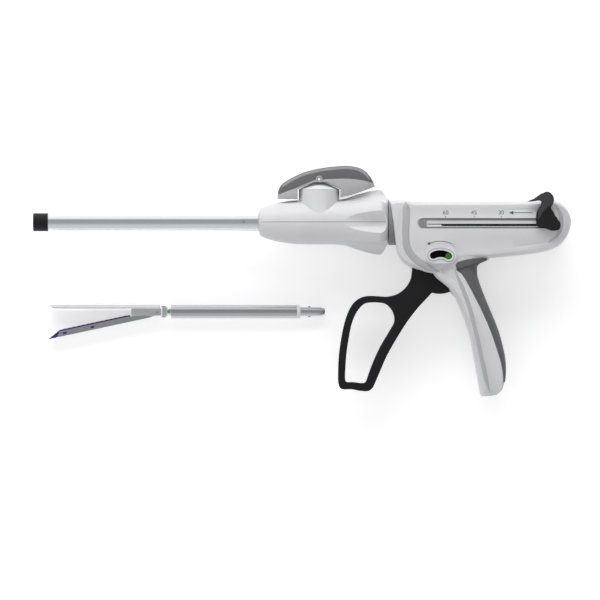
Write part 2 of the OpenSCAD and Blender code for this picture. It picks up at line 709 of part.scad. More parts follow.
module safety_button() {
    low = safety_floor + moving_gap / 2;
    color([0.29, 0.48, 0.21]) laid() translate([pivot[0], pivot[1], low]) difference() {
        rotate([0, 0, safety_start]) {
            translate([safety_radius, 0, 0]) cylinder(r = safety_button_radius,
                h = barrel_side + bezel_rise * 0.5 - low);
            cylinder(r = trigger_pin_radius + safety_hub_wall, h = safety_arm_thickness);
            box([0, -safety_button_radius, 0], [safety_radius, safety_button_radius, safety_arm_thickness]);
        }
        translate([0, 0, -overrun]) cylinder(r = trigger_pin_radius + running_fit,
            h = safety_arm_thickness + 2 * overrun);
    }
}

module firing_rack() {
    tooth_room = return_rest - crosspiece_width - rack_front;
    count = floor(tooth_room / tooth_pitch);
    color([0.62, 0.63, 0.65]) laid() difference() {
        along_x(rack_radius, rack_front, rack_rear);
        box([rack_front - overrun, -2 * rack_radius, -rack_radius],
            [rack_rear + overrun, -rack_flat, rack_radius]);
        for (i = [0 : count - 1]) translate([rack_front + (i + 0.2) * tooth_pitch, -rack_flat, -rack_radius])
            linear_extrude(2 * rack_radius) polygon([
                [0, -overrun], [tooth_pitch * 0.9, -overrun], [tooth_pitch * 0.9, 0], [0, tooth_depth],
                [0, 0]]);
        box([return_rest - crosspiece_width / 2 - seat_gap, slot_y - crosspiece_width, -rack_radius],
            [return_rest + crosspiece_width / 2 + seat_gap, slot_y + slot_height + seat_gap, rack_radius]);
    }
}

// Block in the rack's notch, with a blade through each side slot
module return_crosspiece() {
    color([0.2, 0.2, 0.21]) laid() {
        box([return_rest - crosspiece_width / 2, slot_y - slot_height, -rack_radius],
            [return_rest + crosspiece_width / 2, slot_y + slot_height, rack_radius]);
        for (side = [0, 1]) mirror([0, 0, side])
            box([return_rest - stem_length / 2, slot_y - stem_height / 2, rack_radius],
                [return_rest + stem_length / 2, slot_y + stem_height / 2, barrel_side + wing_gap]);
    }
}

module return_wing() {
    translate([return_rest, slot_y, barrel_side + wing_gap]) {
        linear_extrude(return_knob_reach - barrel_side - wing_gap)
            polygon(smooth_closed(scaled(wing_shares, wing_length, wing_height), 2));
    }
}

module return_knob_left() {
    color([0.12, 0.12, 0.13]) laid() return_wing();
}

module return_knob_right() {
    color([0.12, 0.12, 0.13]) laid() mirror([0, 0, 1]) return_wing();
}

module control_rod() {
    color("silver") laid() along_x(control_rod_radius, tip_face + tip_collar_length + control_rod_setback, rack_front);
}

// Outside of the rotation knob before its flutes
module knob_form() {
    outline = smooth_open(knob_shares, knob_spline_steps);
    edge = [for (s = outline) [knob_front + s[0] * knob_length, s[1] * knob_radius]];
    turned(concat([[knob_front, 0]], edge, [[0, 0]]));
}

module knob_rooms() {
    along_x(journal_radius, knob_front - overrun, overrun);
    slim = knob_radius * slim_share - knob_wall;
    turned([[knob_room_front, 0], [knob_room_front, slim * 0.7], [knob_room_front + knob_taper, slim],
        [knob_room_rear - knob_flare, slim], [knob_room_rear, slim * 1.1], [knob_room_rear, 0]]);
}

// Knob before it is hollowed, with its finger flutes
module fluted_knob() {
    difference() {
        knob_form();
        for (i = [0 : flute_count - 1]) rotate([i * 360 / flute_count, 0, 0])
            translate([0, 0, flute_centre])
                along_x(flute_radius, knob_front / 2, overrun);
    }
}

module knob_upper() {
    color([0.88, 0.88, 0.89]) laid() difference() {
        union() {
            fluted_knob();
            translate([turret_x, 0, 0]) along_y(turret_radius, 0, turret_height);
        }
        knob_rooms();
        box([2 * knob_front, -2 * knob_radius, -2 * knob_radius], [overrun, 0, 2 * knob_radius]);
        translate([turret_x, 0, 0]) along_y(turret_radius - knob_wall, 0, turret_height + overrun);
    }
}

module knob_lower() {
    color([0.84, 0.84, 0.85]) laid() difference() {
        fluted_knob();
        knob_rooms();
        box([2 * knob_front, 0, -2 * knob_radius], [overrun, 2 * knob_radius, 2 * knob_radius]);
    }
}

module shaft_tube() {
    slot_half = rod_stem / 2 + articulation_stroke + moving_gap;
    color([0.82, 0.83, 0.85]) laid() difference() {
        union() {
            along_x(shaft_radius, tip_face + tip_collar_length, journal_start);
            along_x(journal_radius, tip_face + tip_collar_length, shaft_rear);
        }
        along_x(shaft_bore_radius, tip_face - overrun, shaft_rear + overrun);
        box([turret_x - slot_half, 0, -rod_width / 2 - moving_gap],
            [turret_x + slot_half, 2 * shaft_radius, rod_width / 2 + moving_gap]);
    }
}

module neck_sleeve() {
    color([0.8, 0.8, 0.82]) laid() difference() {
        along_x(shaft_radius + neck_wall, knob_front - neck_length, knob_front);
        along_x(journal_radius, knob_front - neck_length - overrun, knob_front + overrun);
    }
}

module tip_collar() {
    socket_radius = socket_diameter / 2;
    color([0.1, 0.1, 0.11]) laid() difference() {
        along_x(shaft_radius, tip_face, tip_face + tip_collar_length);
        along_x(socket_radius, tip_face - overrun, tip_face + tip_collar_length + overrun);
        box([tip_face - overrun, -socket_radius - nub_rise, -nub_radius * 1.2],
            [tip_face + socket_slot_depth, socket_radius + nub_rise, nub_radius * 1.2]);
    }
}

module shaft_retainer() {
    color([0.5, 0.5, 0.52]) laid() difference() {
        along_x(retainer_radius, shaft_rear - retainer_length, shaft_rear);
        along_x(journal_radius, -overrun, shaft_rear + overrun);
    }
}

module turret_cap() {
    color([0.93, 0.93, 0.94]) laid() translate([turret_x, turret_height, 0]) rotate([-90, 0, 0]) difference() {
        union() {
            cylinder(r1 = turret_radius, r2 = turret_radius * 0.37, h = turret_cap_height);
            translate([0, 0, -knob_wall]) cylinder(r = turret_radius - knob_wall - seat_gap, h = knob_wall);
        }
        translate([0, 0, -2 * knob_wall]) cylinder(r = post_radius + running_fit,
            h = 3 * knob_wall + turret_cap_height);
    }
}

// Side profile of the lever's body, from its border with the pad down to its arms
module lever_side(points) {
    translate([turret_x, lever_floor, -lever_width / 2]) linear_extrude(lever_width) polygon(points);
}

// Plan of the lever: a slim oval with round ends
module lever_plan() {
    half = lever_width / 2;
    end_radius = lever_width * 0.4;
    low = turret_x + lever_length * -0.43;
    high = turret_x + lever_length * 0.573;
    rotate([-90, 0, 0]) linear_extrude(3 * lever_crown) hull() {
        translate([low + end_radius, 0]) circle(r = end_radius);
        translate([high - end_radius, 0]) circle(r = end_radius);
        translate([turret_x, 0]) square([turret_radius, lever_width], center = true);
    }
}

module lever_bores() {
    translate([turret_x, lever_pin_height, -lever_width]) cylinder(r = lever_pin_radius, h = 2 * lever_width);
    translate([turret_x, 0, 0]) along_y(post_radius, 0, lever_pin_height + lever_pin_radius * 1.3);
}

module lever_body() {
    gap = lever_arm_gap;
    border = smooth_open(scaled(lever_border_shares, lever_length, lever_height), 2);
    inner = turret_radius + gap;
    rim = turret_height - lever_floor + gap * 0.4;
    top = rim + turret_cap_height;
    step = lever_height;
    arms = [
        [lever_length * 0.573, step * 0.40], [lever_length * 0.336, step * 0.16], [inner, step * 0.09],
        [inner, rim], [turret_radius * 0.37, top], [-turret_radius * 0.37, top], [-inner, rim],
        [-inner, step * 0.04], [-lever_length * 0.43, step * 0.04]
    ];
    boss_half = lever_width / 2 + gap / 2;
    color([0.72, 0.72, 0.73]) laid() difference() {
        union() {
            intersection() {
                lever_side(concat(border, arms));
                lever_plan();
            }
            translate([turret_x, lever_pin_height, -boss_half]) cylinder(r = lever_boss_radius, h = 2 * boss_half);
        }
        lever_bores();
    }
}

module lever_pad() {
    border = smooth_open(scaled(lever_border_shares, lever_length, lever_height), 2);
    top = smooth_open(scaled(lever_top_shares, lever_length, lever_height), spline_steps);
    outline = concat(top, [for (i = [len(border) - 2 : -1 : 1]) border[i]]);
    color([0.4, 0.4, 0.41]) laid() difference() {
        intersection() {
            lever_side(outline);
            lever_plan();
        }
        translate([turret_x, lever_pin_height, -lever_width]) cylinder(r = lever_boss_radius, h = 2 * lever_width);
        lever_bores();
    }
}

module lever_pin() {
    half = lever_width / 2 + lever_arm_gap / 2;
    color("silver") laid() translate([turret_x, lever_pin_height, -half]) difference() {
        cylinder(r = lever_pin_radius, h = 2 * half);
        translate([0, 0, -overrun]) cylinder(r = lever_pin_bore_radius, h = 2 * (half + overrun));
    }
}

// Post with the crank plate and crank pin at its foot
module lever_post() {
    color([0.7, 0.71, 0.73]) laid() translate([turret_x, 0, 0]) difference() {
        union() {
            along_y(post_radius, crank_floor, lever_pin_height + lever_pin_radius * 1.3);
            along_y(crank_throw + 2 * crank_pin_radius, crank_floor, crank_floor + crank_plate_thickness);
            translate([0, 0, crank_throw]) along_y(crank_pin_radius, yoke_floor + crank_gap, crank_floor + overrun);
        }
        translate([0, lever_pin_height, -lever_width]) cylinder(r = lever_pin_radius, h = 2 * lever_width);
    }
}

// Flat rod in the tube, with a yoke over the tube that the crank pin moves
module articulation_rod() {
    yoke_slot = crank_pin_radius + yoke_play;
    color([0.75, 0.76, 0.78]) laid() {
        box([tip_face + tip_collar_length + rod_setback, rod_top - rod_height, -rod_width / 2],
            [turret_x + rod_stem / 2, rod_top, rod_width / 2]);
        box([turret_x - rod_stem / 2, rod_top, -rod_width / 2],
            [turret_x + rod_stem / 2, yoke_floor, rod_width / 2]);
        difference() {
            box([turret_x - yoke_slot - yoke_wall, yoke_floor, -rod_width / 2],
                [turret_x + yoke_slot + yoke_wall, yoke_floor + yoke_thickness,
                    crank_throw + crank_pin_radius + yoke_end]);
            box([turret_x - yoke_slot, yoke_floor - overrun, crank_throw * 0.5],
                [turret_x + yoke_slot, yoke_floor + 2 * yoke_thickness, 3 * crank_throw]);
        }
    }
}

module reload_tube() {
    color([0.8, 0.81, 0.83]) reload_laid() difference() {
        along_x(reload_radius, tube_start, tube_start + reload_tube_length);
        along_x(reload_radius - tube_wall, tube_start - overrun, tube_start + reload_tube_length + overrun);
    }
}

module reload_ring() {
    from = tube_start + reload_tube_length;
    color([0.95, 0.95, 0.95]) reload_laid() difference() {
        along_x(reload_radius, from, from + ring_length);
        along_x(nose_diameter / 2, from - overrun, from + 2 * ring_length);
    }
}

module reload_nose() {
    from = tube_start + reload_tube_length - nose_insert;
    shoulder = tube_start + reload_tube_length + ring_length;
    nose_radius = nose_diameter / 2;
    tip = shoulder + nose_length;
    color([0.86, 0.87, 0.88]) reload_laid() difference() {
        union() {
            turned([[from, 0], [from, nose_radius], [tip - nose_taper, nose_radius], [tip - nose_round, nose_radius * 0.8],
                [tip, nose_radius * 0.45], [tip, 0]]);
            translate([shoulder + nub_place, 0, 0]) along_y(nub_radius, -nose_radius - nub_rise,
                nose_radius + nub_rise);
        }
        along_x(control_rod_radius + moving_gap, from - overrun, tip + overrun);
    }
}

// Cone at the front of the tube, with the bar that carries the wrist pin
module wrist_collar() {
    color([0.62, 0.63, 0.64]) reload_laid() difference() {
        union() {
            turned([[tube_start - cone_length, 0], [tube_start - cone_length, bar_reach],
                [tube_start, reload_radius], [tube_start, 0]]);
            along_x(reload_radius - tube_wall - seat_gap, tube_start, tube_start + cone_plug);
            box([wrist_x, -bar_reach, -bar_half], [tube_start, bar_reach, bar_half]);
            translate([wrist_x, 0, 0]) along_y(bar_half, -bar_reach, bar_reach);
        }
        translate([wrist_x, 0, 0]) along_y(wrist_pin_radius, -2 * bar_reach, 2 * bar_reach);
    }
}

module wrist_pin() {
    color("silver") reload_laid() translate([wrist_x, 0, 0])
        along_y(wrist_pin_radius, -tab_floor - tab_thickness, tab_floor + tab_thickness);
}

module anvil() {
    length = jaw_length - anvil_setback;
    color([0.7, 0.71, 0.72]) reload_laid() difference() {
        intersection() {
            along_x(reload_radius, -length, anvil_reach);
            translate([0, 0, -reload_radius]) linear_extrude(2 * reload_radius) polygon([
                [-length, anvil_floor + anvil_thickness], [-length + anvil_tip, anvil_floor],
                [anvil_reach, anvil_floor], [anvil_reach, anvil_floor + anvil_thickness * 1.2],
                [-length, anvil_floor + anvil_thickness * 1.2]]);
        }
        box([-length - overrun, anvil_floor - overrun, -knife_slot / 2],
            [-bracket_length, anvil_floor + anvil_thickness * 0.6, knife_slot / 2]);
    }
}

// Two cheeks under the anvil, joined by a web that two tabs hold on the wrist pin
module jaw_bracket() {
    half = cheek_inner + cheek_thickness;
    tab_top = tab_floor + tab_thickness;
    web_rear = web_front + web_thickness;
    color([0.66, 0.67, 0.68]) reload_laid() difference() {
        union() {
            for (side = [0, 1]) mirror([0, 0, side])
                box([-bracket_length, -jaw_pivot_drop - bracket_half_height, cheek_inner],
                    [web_rear, anvil_floor - anvil_seat_gap, half]);
            intersection() {
                along_x(reload_radius, web_front, web_rear);
                box([web_front - overrun, -tab_top, -half], [web_rear + overrun, tab_top, half]);
            }
            for (side = [0, 1]) mirror([0, side, 0]) {
                box([web_front, tab_floor, -tab_radius], [wrist_x, tab_top, tab_radius]);
                translate([wrist_x, 0, 0]) along_y(tab_radius, tab_floor, tab_top);
            }
        }
        translate([0, -jaw_pivot_drop, -2 * half]) cylinder(r = jaw_pin_radius + running_fit, h = 4 * half);
        translate([wrist_x, 0, 0]) along_y(wrist_pin_radius + running_fit, -2 * tab_top, 2 * tab_top);
    }
}

module jaw_pin() {
    half = cheek_inner + cheek_thickness;
    color("silver") reload_laid() translate([0, -jaw_pivot_drop, -half])
        cylinder(r = jaw_pin_radius, h = 2 * half);
}

// Both pieces of the lower jaw, swung open about the jaw pivot
module jaw_open() {
    reload_laid() translate([0, -jaw_pivot_drop, 0]) rotate([0, 0, jaw_angle]) children();
}

module cartridge_channel() {
    front = jaw_length - channel_setback;
    color([0.68, 0.69, 0.7]) jaw_open() difference() {
        translate([0, 0, -channel_half]) linear_extrude(2 * channel_half) polygon([
            [-front, channel_floor], [-front + channel_slope, channel_top], [-channel_mouth, channel_top],
            [-channel_step, channel_rear_top], [channel_tail, channel_rear_top],
            [channel_tail, -channel_tail], [-channel_heel, channel_floor]]);
        translate([0, 0, -channel_half + channel_wall]) linear_extrude(2 * (channel_half - channel_wall)) polygon([
            [-jaw_length, channel_floor + channel_wall], [2 * channel_tail, channel_floor + channel_wall],
            [2 * channel_tail, 2 * channel_top], [-jaw_length, 2 * channel_top]]);
        translate([0, 0, -2 * reload_radius]) cylinder(r = jaw_pin_radius + running_fit, h = 4 * reload_radius);
    }
}

module cartridge() {
    shoulder = jaw_length - cartridge_setback;
    color([0.24, 0.13, 0.42]) jaw_open() difference() {
        translate([0, 0, -cartridge_half]) linear_extrude(2 * cartridge_half) polygon([
            [-jaw_length, channel_floor], [-jaw_length + cartridge_toe, channel_floor],
            [-jaw_length + cartridge_step, cartridge_floor], [-cartridge_rear, cartridge_floor],
            [-cartridge_rear, cartridge_top], [-shoulder, cartridge_top]]);
        box([-jaw_length, -knife_depth, -knife_slot / 2],
            [-cartridge_rear + overrun, 2 * cartridge_top, knife_slot / 2]);
    }
}

housing_left();
housing_right();
grip_pad();
bearing_collar();
trigger_pin();
holding_pawl_pin();
trigger();
drive_pawl_pin();
drive_pawl();
holding_pawl();
safety_button();
firing_rack();
return_crosspiece();
return_knob_left();
return_knob_right();
control_rod();
knob_upper();
knob_lower();
shaft_tube();
neck_sleeve();
tip_collar();
shaft_retainer();
turret_cap();
lever_body();
lever_pad();
lever_pin();
lever_post();
articulation_rod();
reload_tube();
reload_nose();
reload_ring();
wrist_collar();
wrist_pin();
anvil();
jaw_bracket();
jaw_pin();
cartridge_channel();
cartridge();
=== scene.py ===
"""Endoscopic stapler with its reload beside it: materials, surface detail, floor, light and camera."""
import json
import math

import bmesh
import bpy
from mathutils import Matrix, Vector
from mathutils.bvhtree import BVHTree


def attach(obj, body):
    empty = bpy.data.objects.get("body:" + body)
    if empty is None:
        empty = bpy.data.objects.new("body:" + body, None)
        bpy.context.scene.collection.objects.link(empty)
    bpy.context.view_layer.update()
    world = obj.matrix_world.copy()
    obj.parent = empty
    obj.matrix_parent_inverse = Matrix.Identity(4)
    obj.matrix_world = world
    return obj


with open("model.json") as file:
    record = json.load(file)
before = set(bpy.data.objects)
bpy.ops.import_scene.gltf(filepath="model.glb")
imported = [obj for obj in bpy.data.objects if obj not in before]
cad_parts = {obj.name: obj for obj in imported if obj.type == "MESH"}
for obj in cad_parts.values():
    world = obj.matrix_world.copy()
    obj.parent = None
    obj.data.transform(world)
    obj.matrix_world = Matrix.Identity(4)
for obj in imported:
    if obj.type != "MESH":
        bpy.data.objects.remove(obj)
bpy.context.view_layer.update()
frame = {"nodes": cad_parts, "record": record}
NODES = frame["nodes"]
MM = 0.001

# Sizes shared with the CAD source, in millimetres and degrees
CENTRE = (-56.8, -39.1136)      # middle of the pair's box
TABLE = 20.5                    # height of the shaft's axis over the table
PIVOT = (34.3367, -30.9563)     # of the trigger
PANEL = 16.9                    # height of the housing's flat side over the middle plane
SAFETY_RADIUS = 10.0            # of the safety's curved slot, round the trigger's pivot
SAFETY_HALF = 2.3               # half the slot's width
SAFETY_FIRST = 57.0
SAFETY_LAST = 118.0
NECK_RADIUS = 6.35
RELOAD_Y = -59.2                # the reload's axis
RELOAD_RADIUS = 4.5
JAW_X = -153.04                 # the jaws' hinge
JAW_DROP = 0.53                 # of the hinge below the reload's axis
JAW_ANGLE = math.radians(12.1)

# The photograph
PHOTO_SIDE = 600                # pixels
PHOTO_ZERO = (388, 222)         # pixel of the knob's rear face on the shaft's axis
PIXEL = 0.66                    # millimetres


def at(x, y, z=0.0):
    """Instrument millimetres, x from the knob's rear face and y, z from the shaft axis, to the frame's metres."""
    return Vector(((x - CENTRE[0]) * MM, (y - CENTRE[1]) * MM, (z + TABLE) * MM))


def at_reload(x, y, z=0.0):
    """Millimetres from the jaw pivot along the reload to the frame's metres."""
    return Vector(((x + JAW_X - CENTRE[0]) * MM, (y + RELOAD_Y - CENTRE[1]) * MM,
                   (z + RELOAD_RADIUS) * MM))


def at_jaw(x, y, z=0.0):
    """Millimetres in the lower jaw's own axes, which stand open at JAW_ANGLE."""
    c, s = math.cos(JAW_ANGLE), math.sin(JAW_ANGLE)
    return at_reload(x * c - y * s, x * s + y * c - JAW_DROP, z)


def from_photo(px, py):
    """Instrument millimetres of a pixel of the photograph."""
    return (px - PHOTO_ZERO[0]) * PIXEL, (PHOTO_ZERO[1] - py) * PIXEL


# ---------------------------------------------------------------- materials
NOISE_LOW, NOISE_HIGH = 0.3, 0.7        # the part of a noise's range that is spread over a tone or a roughness
EDGE_START, EDGE_FULL = 0.52, 0.60      # pointiness at which an edge starts to look handled, and at which it does
EDGE_SHARE = 1.5                        # how much lighter a handled edge is


def new_material(name):
    material = bpy.data.materials.new(name)
    material.use_nodes = True
    tree = material.node_tree
    tree.nodes.clear()
    out = tree.nodes.new("ShaderNodeOutputMaterial")
    shader = tree.nodes.new("ShaderNodeBsdfPrincipled")
    tree.links.new(shader.outputs[0], out.inputs[0])
    return material, tree, shader


def add(tree, kind, **values):
    """A node with the given inputs and settings."""
    node = tree.nodes.new(kind)
    for key, value in values.items():
        if key in node.inputs:
            node.inputs[key].default_value = value
        else:
            setattr(node, key, value)
    return node


def object_coords(tree, scale=(1, 1, 1)):
    coords = add(tree, "ShaderNodeTexCoord")
    mapping = add(tree, "ShaderNodeMapping")
    mapping.inputs["Scale"].default_value = scale
    tree.links.new(coords.outputs["Object"], mapping.inputs["Vector"])
    return mapping.outputs[0]


def noise_node(tree, vector, scale, detail=3.0, roughness=0.55):
    node = add(tree, "ShaderNodeTexNoise", Scale=scale, Detail=detail, Roughness=roughness)
    tree.links.new(vector, node.inputs["Vector"])
    return node.outputs["Fac"]


def ramp_node(tree, factor, stops):
    node = add(tree, "ShaderNodeValToRGB")
    ramp = node.color_ramp
    while len(ramp.elements) < len(stops):
        ramp.elements.new(0.5)
    for element, (position, color) in zip(ramp.elements, stops):
        element.position = position
        element.color = (*color, 1)
    tree.links.new(factor, node.inputs["Fac"])
    return node.outputs["Color"]


def ranged(tree, factor, low, high):
    """A value from low to high that follows a noise."""
    node = add(tree, "ShaderNodeMapRange")
    node.inputs["From Min"].default_value = NOISE_LOW
    node.inputs["From Max"].default_value = NOISE_HIGH
    node.inputs["To Min"].default_value = low
    node.inputs["To Max"].default_value = high
    tree.links.new(factor, node.inputs["Value"])
    return node.outputs["Result"]


def shade(color, share):
    return tuple(min(1.0, c * share) for c in color)


def mottled(tree, factor, color, dark, light):
    """The colour, from dark to light times as bright, that follows a noise."""
    return ramp_node(tree, factor, [(NOISE_LOW, shade(color, dark)), (NOISE_HIGH, shade(color, light))])


def moulded(name, color, roughness, grain=2600.0, bump=0.25, depth=0.02, variation=0.03, wear=0.06, coat=0.0,
            specular=0.5):
    """Moulded plastic: faint cloudy tone, fine spark-eroded grain, and edges a little lighter from handling."""
    material, tree, shader = new_material(name)
    vector = object_coords(tree)
    cloud = noise_node(tree, vector, 45.0, 4.0)
    tone = mottled(tree, cloud, color, 1 - variation, 1 + variation)
    geometry = add(tree, "ShaderNodeNewGeometry")
    edge = add(tree, "ShaderNodeMapRange")
    edge.inputs["From Min"].default_value = EDGE_START
    edge.inputs["From Max"].default_value = EDGE_FULL
    edge.inputs["To Max"].default_value = wear
    tree.links.new(geometry.outputs["Pointiness"], edge.inputs["Value"])
    mix = add(tree, "ShaderNodeMix", data_type="RGBA")
    tree.links.new(edge.outputs["Result"], mix.inputs[0])
    tree.links.new(tone, mix.inputs[6])
    mix.inputs[7].default_value = (*shade(color, EDGE_SHARE), 1)
    tree.links.new(mix.outputs[2], shader.inputs["Base Color"])
    tree.links.new(ranged(tree, noise_node(tree, vector, 120.0), roughness * 0.88, roughness * 1.12),
                   shader.inputs["Roughness"])
    grains = noise_node(tree, vector, grain, 2.0)
    relief = add(tree, "ShaderNodeBump", Strength=bump, Distance=depth * MM)
    tree.links.new(grains, relief.inputs["Height"])
    tree.links.new(relief.outputs[0], shader.inputs["Normal"])
    shader.inputs["Specular IOR Level"].default_value = specular
    shader.inputs["Coat Weight"].default_value = coat
    shader.inputs["Coat Roughness"].default_value = 0.25
    return material


def soft_touch(name, color, roughness=0.75):
    """Overmoulded rubber: matt, with a close pebbled surface and a faint cloudy tone."""
    material, tree, shader = new_material(name)
    vector = object_coords(tree)
    cells = add(tree, "ShaderNodeTexVoronoi", Scale=1500.0)
    tree.links.new(vector, cells.inputs["Vector"])
    cloud = noise_node(tree, vector, 60.0, 5.0)
    tone = mottled(tree, cloud, color, 0.92, 1.07)
    tree.links.new(tone, shader.inputs["Base Color"])
    tree.links.new(ranged(tree, noise_node(tree, vector, 200.0), roughness * 0.92, min(1, roughness * 1.08)),
                   shader.inputs["Roughness"])
    relief = add(tree, "ShaderNodeBump", Strength=0.35, Distance=0.04 * MM)
    tree.links.new(cells.outputs["Distance"], relief.inputs["Height"])
    tree.links.new(relief.outputs[0], shader.inputs["Normal"])
    shader.inputs["Sheen Weight"].default_value = 0.08
    shader.inputs["Sheen Roughness"].default_value = 0.6
    return material


def metal(name, color, roughness, stretch=(60.0, 2600.0, 2600.0), bump=0.12, variation=0.05):
    """Drawn or ground metal: streaks along one axis in tone, roughness and relief."""
    material, tree, shader = new_material(name)
    vector = object_coords(tree, stretch)
    streak = noise_node(tree, vector, 1.0, 4.0, 0.6)
    tone = mottled(tree, streak, color, 1 - variation, 1 + variation)
    tree.links.new(tone, shader.inputs["Base Color"])
    tree.links.new(ranged(tree, streak, roughness * 0.93, roughness * 1.08), shader.inputs["Roughness"])
    relief = add(tree, "ShaderNodeBump", Strength=bump, Distance=0.01 * MM)
    tree.links.new(streak, relief.inputs["Height"])
    tree.links.new(relief.outputs[0], shader.inputs["Normal"])
    shader.inputs["Metallic"].default_value = 1.0
    return material


WHITE = moulded("satin_white", (0.70, 0.70, 0.71), 0.33, coat=0.15)
# Lighter copy of the white for the turret's cap: painted light that keeps the cap bright under the lever's shadow
LIT_CAP_WHITE = moulded("bright_white_cap", (0.88, 0.88, 0.885), 0.35, coat=0.12)
KNOB_WHITE = moulded("satin_knob", (0.72, 0.72, 0.73), 0.35, coat=0.12)
LIGHT_GREY = moulded("light_grey_plastic", (0.46, 0.46, 0.465), 0.4)
SEAL_WHITE = moulded("white_seal", (0.84, 0.84, 0.84), 0.5)
MID_GREY = moulded("grey_plastic", (0.145, 0.145, 0.15), 0.55, bump=0.35)
COLLAR_GREY = moulded("grey_collar", (0.24, 0.24, 0.245), 0.5, bump=0.3)
# Lighter grey for the lever pad's rounded top edge and its bevel: a painted highlight
HIGHLIGHT_EDGE_GREY = moulded("worn_grey_edge", (0.36, 0.36, 0.365), 0.5)
RUBBER = soft_touch("grey_rubber", (0.115, 0.115, 0.118))
BLACK = moulded("fine_black_plastic", (0.011, 0.011, 0.012), 0.45, bump=0.4, depth=0.03, variation=0.12, wear=0.06,
                specular=0.25)
KNOB_BLACK = moulded("satin_black_plastic", (0.010, 0.010, 0.011), 0.34, variation=0.12, wear=0.08, coat=0.1,
                     specular=0.3)
# Lighter black for the band on each return knob: a painted sheen on its lit face
SHEEN_BLACK = moulded("rubbed_black_plastic", (0.045, 0.045, 0.047), 0.4, variation=0.08, wear=0.05)
# Near black for the safety slot's lining, the staple and anvil pockets and the screws' crosses: painted shade in
# those hollows
SHADOW_BLACK = moulded("dark_recess", (0.01, 0.01, 0.011), 0.7, variation=0.1, wear=0.0)
# Darker copy of the white for the front bead, the rear crescent and the grip groove: painted shade
PAINTED_SHADE_WHITE = moulded("shaded_bead", (0.46, 0.46, 0.465), 0.35, coat=0.12)
# Dark grey for the slot recess floors and the safety ring's foot: painted shade
RECESS_SHADE_GREY = moulded("grey_recess", (0.25, 0.25, 0.255), 0.5)
GREEN = moulded("green_plastic", (0.04, 0.15, 0.022), 0.32, variation=0.06, coat=0.3)
GREEN_MARK = moulded("green_mark", (0.07, 0.25, 0.05), 0.45, variation=0.06)
PURPLE = moulded("purple_plastic", (0.045, 0.013, 0.15), 0.34, variation=0.08, coat=0.25)
INK = moulded("grey_print", (0.07, 0.07, 0.075), 0.6, grain=6000.0, variation=0.1, wear=0.0)
STRIP = moulded("pale_slot_strip", (0.62, 0.62, 0.635), 0.4)
ALLOY = metal("satin_alloy", (0.9, 0.905, 0.915), 0.25, bump=0.015, variation=0.012)
STEEL = metal("fine_steel", (0.60, 0.605, 0.62), 0.3, bump=0.03, variation=0.03)
BRIGHT = metal("bright_steel", (0.66, 0.66, 0.67), 0.22, bump=0.03, variation=0.03)
INNER = metal("machined_steel", (0.5, 0.505, 0.52), 0.35, stretch=(400.0, 400.0, 900.0))

FINISH = {
    "white_plastic": WHITE, "knob_plastic": KNOB_WHITE, "grey_rubber": RUBBER, "grey_plastic": MID_GREY,
    "light_grey_plastic": LIGHT_GREY, "black_plastic": BLACK, "green_plastic": GREEN, "purple_plastic": PURPLE,
    "white_seal": SEAL_WHITE, "shaft_alloy": ALLOY, "steel": STEEL, "inner_steel": INNER,
}


# ---------------------------------------------------------------- CAD nodes
WELD = 2e-6                     # metres
BEVEL_ANGLE = 40.0              # degrees
CREASE = 32.0


def split_creases(obj, angle):
    """Keeps the edges crisp that are sharper than the angle."""
    split = obj.modifiers.new("creases", "EDGE_SPLIT")
    split.split_angle = math.radians(angle)
    split.use_edge_sharp = False


def dress(name, material, bevel=0.0, band=None, segments=2):
    """Finish, rounded edges and smooth shading for one CAD node; its own mesh stays as it is. With a band, the
    rounded edges have that material."""
    obj = NODES[name]
    obj.data.materials.clear()
    obj.data.materials.append(material)
    if band:
        obj.data.materials.append(band)
    with bpy.context.temp_override(object=obj, active_object=obj, selected_objects=[obj]):
        if obj.data.has_custom_normals:
            bpy.ops.mesh.customdata_custom_splitnormals_clear()
    for polygon in obj.data.polygons:
        polygon.use_smooth = True
        polygon.material_index = 0
    weld = obj.modifiers.new("weld", "WELD")
    weld.merge_threshold = WELD
    if bevel:
        edge = obj.modifiers.new("edges", "BEVEL")
        edge.width = bevel * MM
        edge.segments = segments
        edge.limit_method = "ANGLE"
        edge.angle_limit = math.radians(BEVEL_ANGLE)
        edge.use_clamp_overlap = True
        edge.harden_normals = False
        if band:
            edge.material = 1
    split_creases(obj, CREASE)


OWN_FINISH = {                  # material, bevel in millimetres, material of the bevel
    "lever_pad": (MID_GREY, 0.9, HIGHLIGHT_EDGE_GREY), "return_knob_left": (KNOB_BLACK, 0.8, None),
    "return_knob_right": (KNOB_BLACK, 0.8, None), "lever_pin": (BRIGHT, 0.15, None),
    "anvil": (BRIGHT, 0.0, None), "trigger": (BLACK, 1.6, None), "safety_button": (GREEN, 0.3, None),
    "lever_body": (LIGHT_GREY, 0.3, None), "turret_cap": (LIT_CAP_WHITE, 0.3, None), "tip_collar": (BLACK, 0.25, None),
    "bearing_collar": (COLLAR_GREY, 0.3, None), "neck_sleeve": (ALLOY, 0.1, None),
    "wrist_collar": (ALLOY, 0.1, None), "jaw_bracket": (ALLOY, 0.12, None), "reload_nose": (STEEL, 0.12, None),
}
for part in frame["record"]["subparts"]:
    name, slot = part["node"], part["material_slot"]
    material, bevel, band = OWN_FINISH.get(name, (FINISH[slot], 0.0, None))
    dress(name, material, bevel, band=band, segments=3 if name == "trigger" else 2)


# ---------------------------------------------------------------- tools for pieces on the CAD surfaces
def tree_of(name):
    mesh = NODES[name].data
    return BVHTree.FromPolygons([v.co.copy() for v in mesh.vertices], [tuple(p.vertices) for p in mesh.polygons])


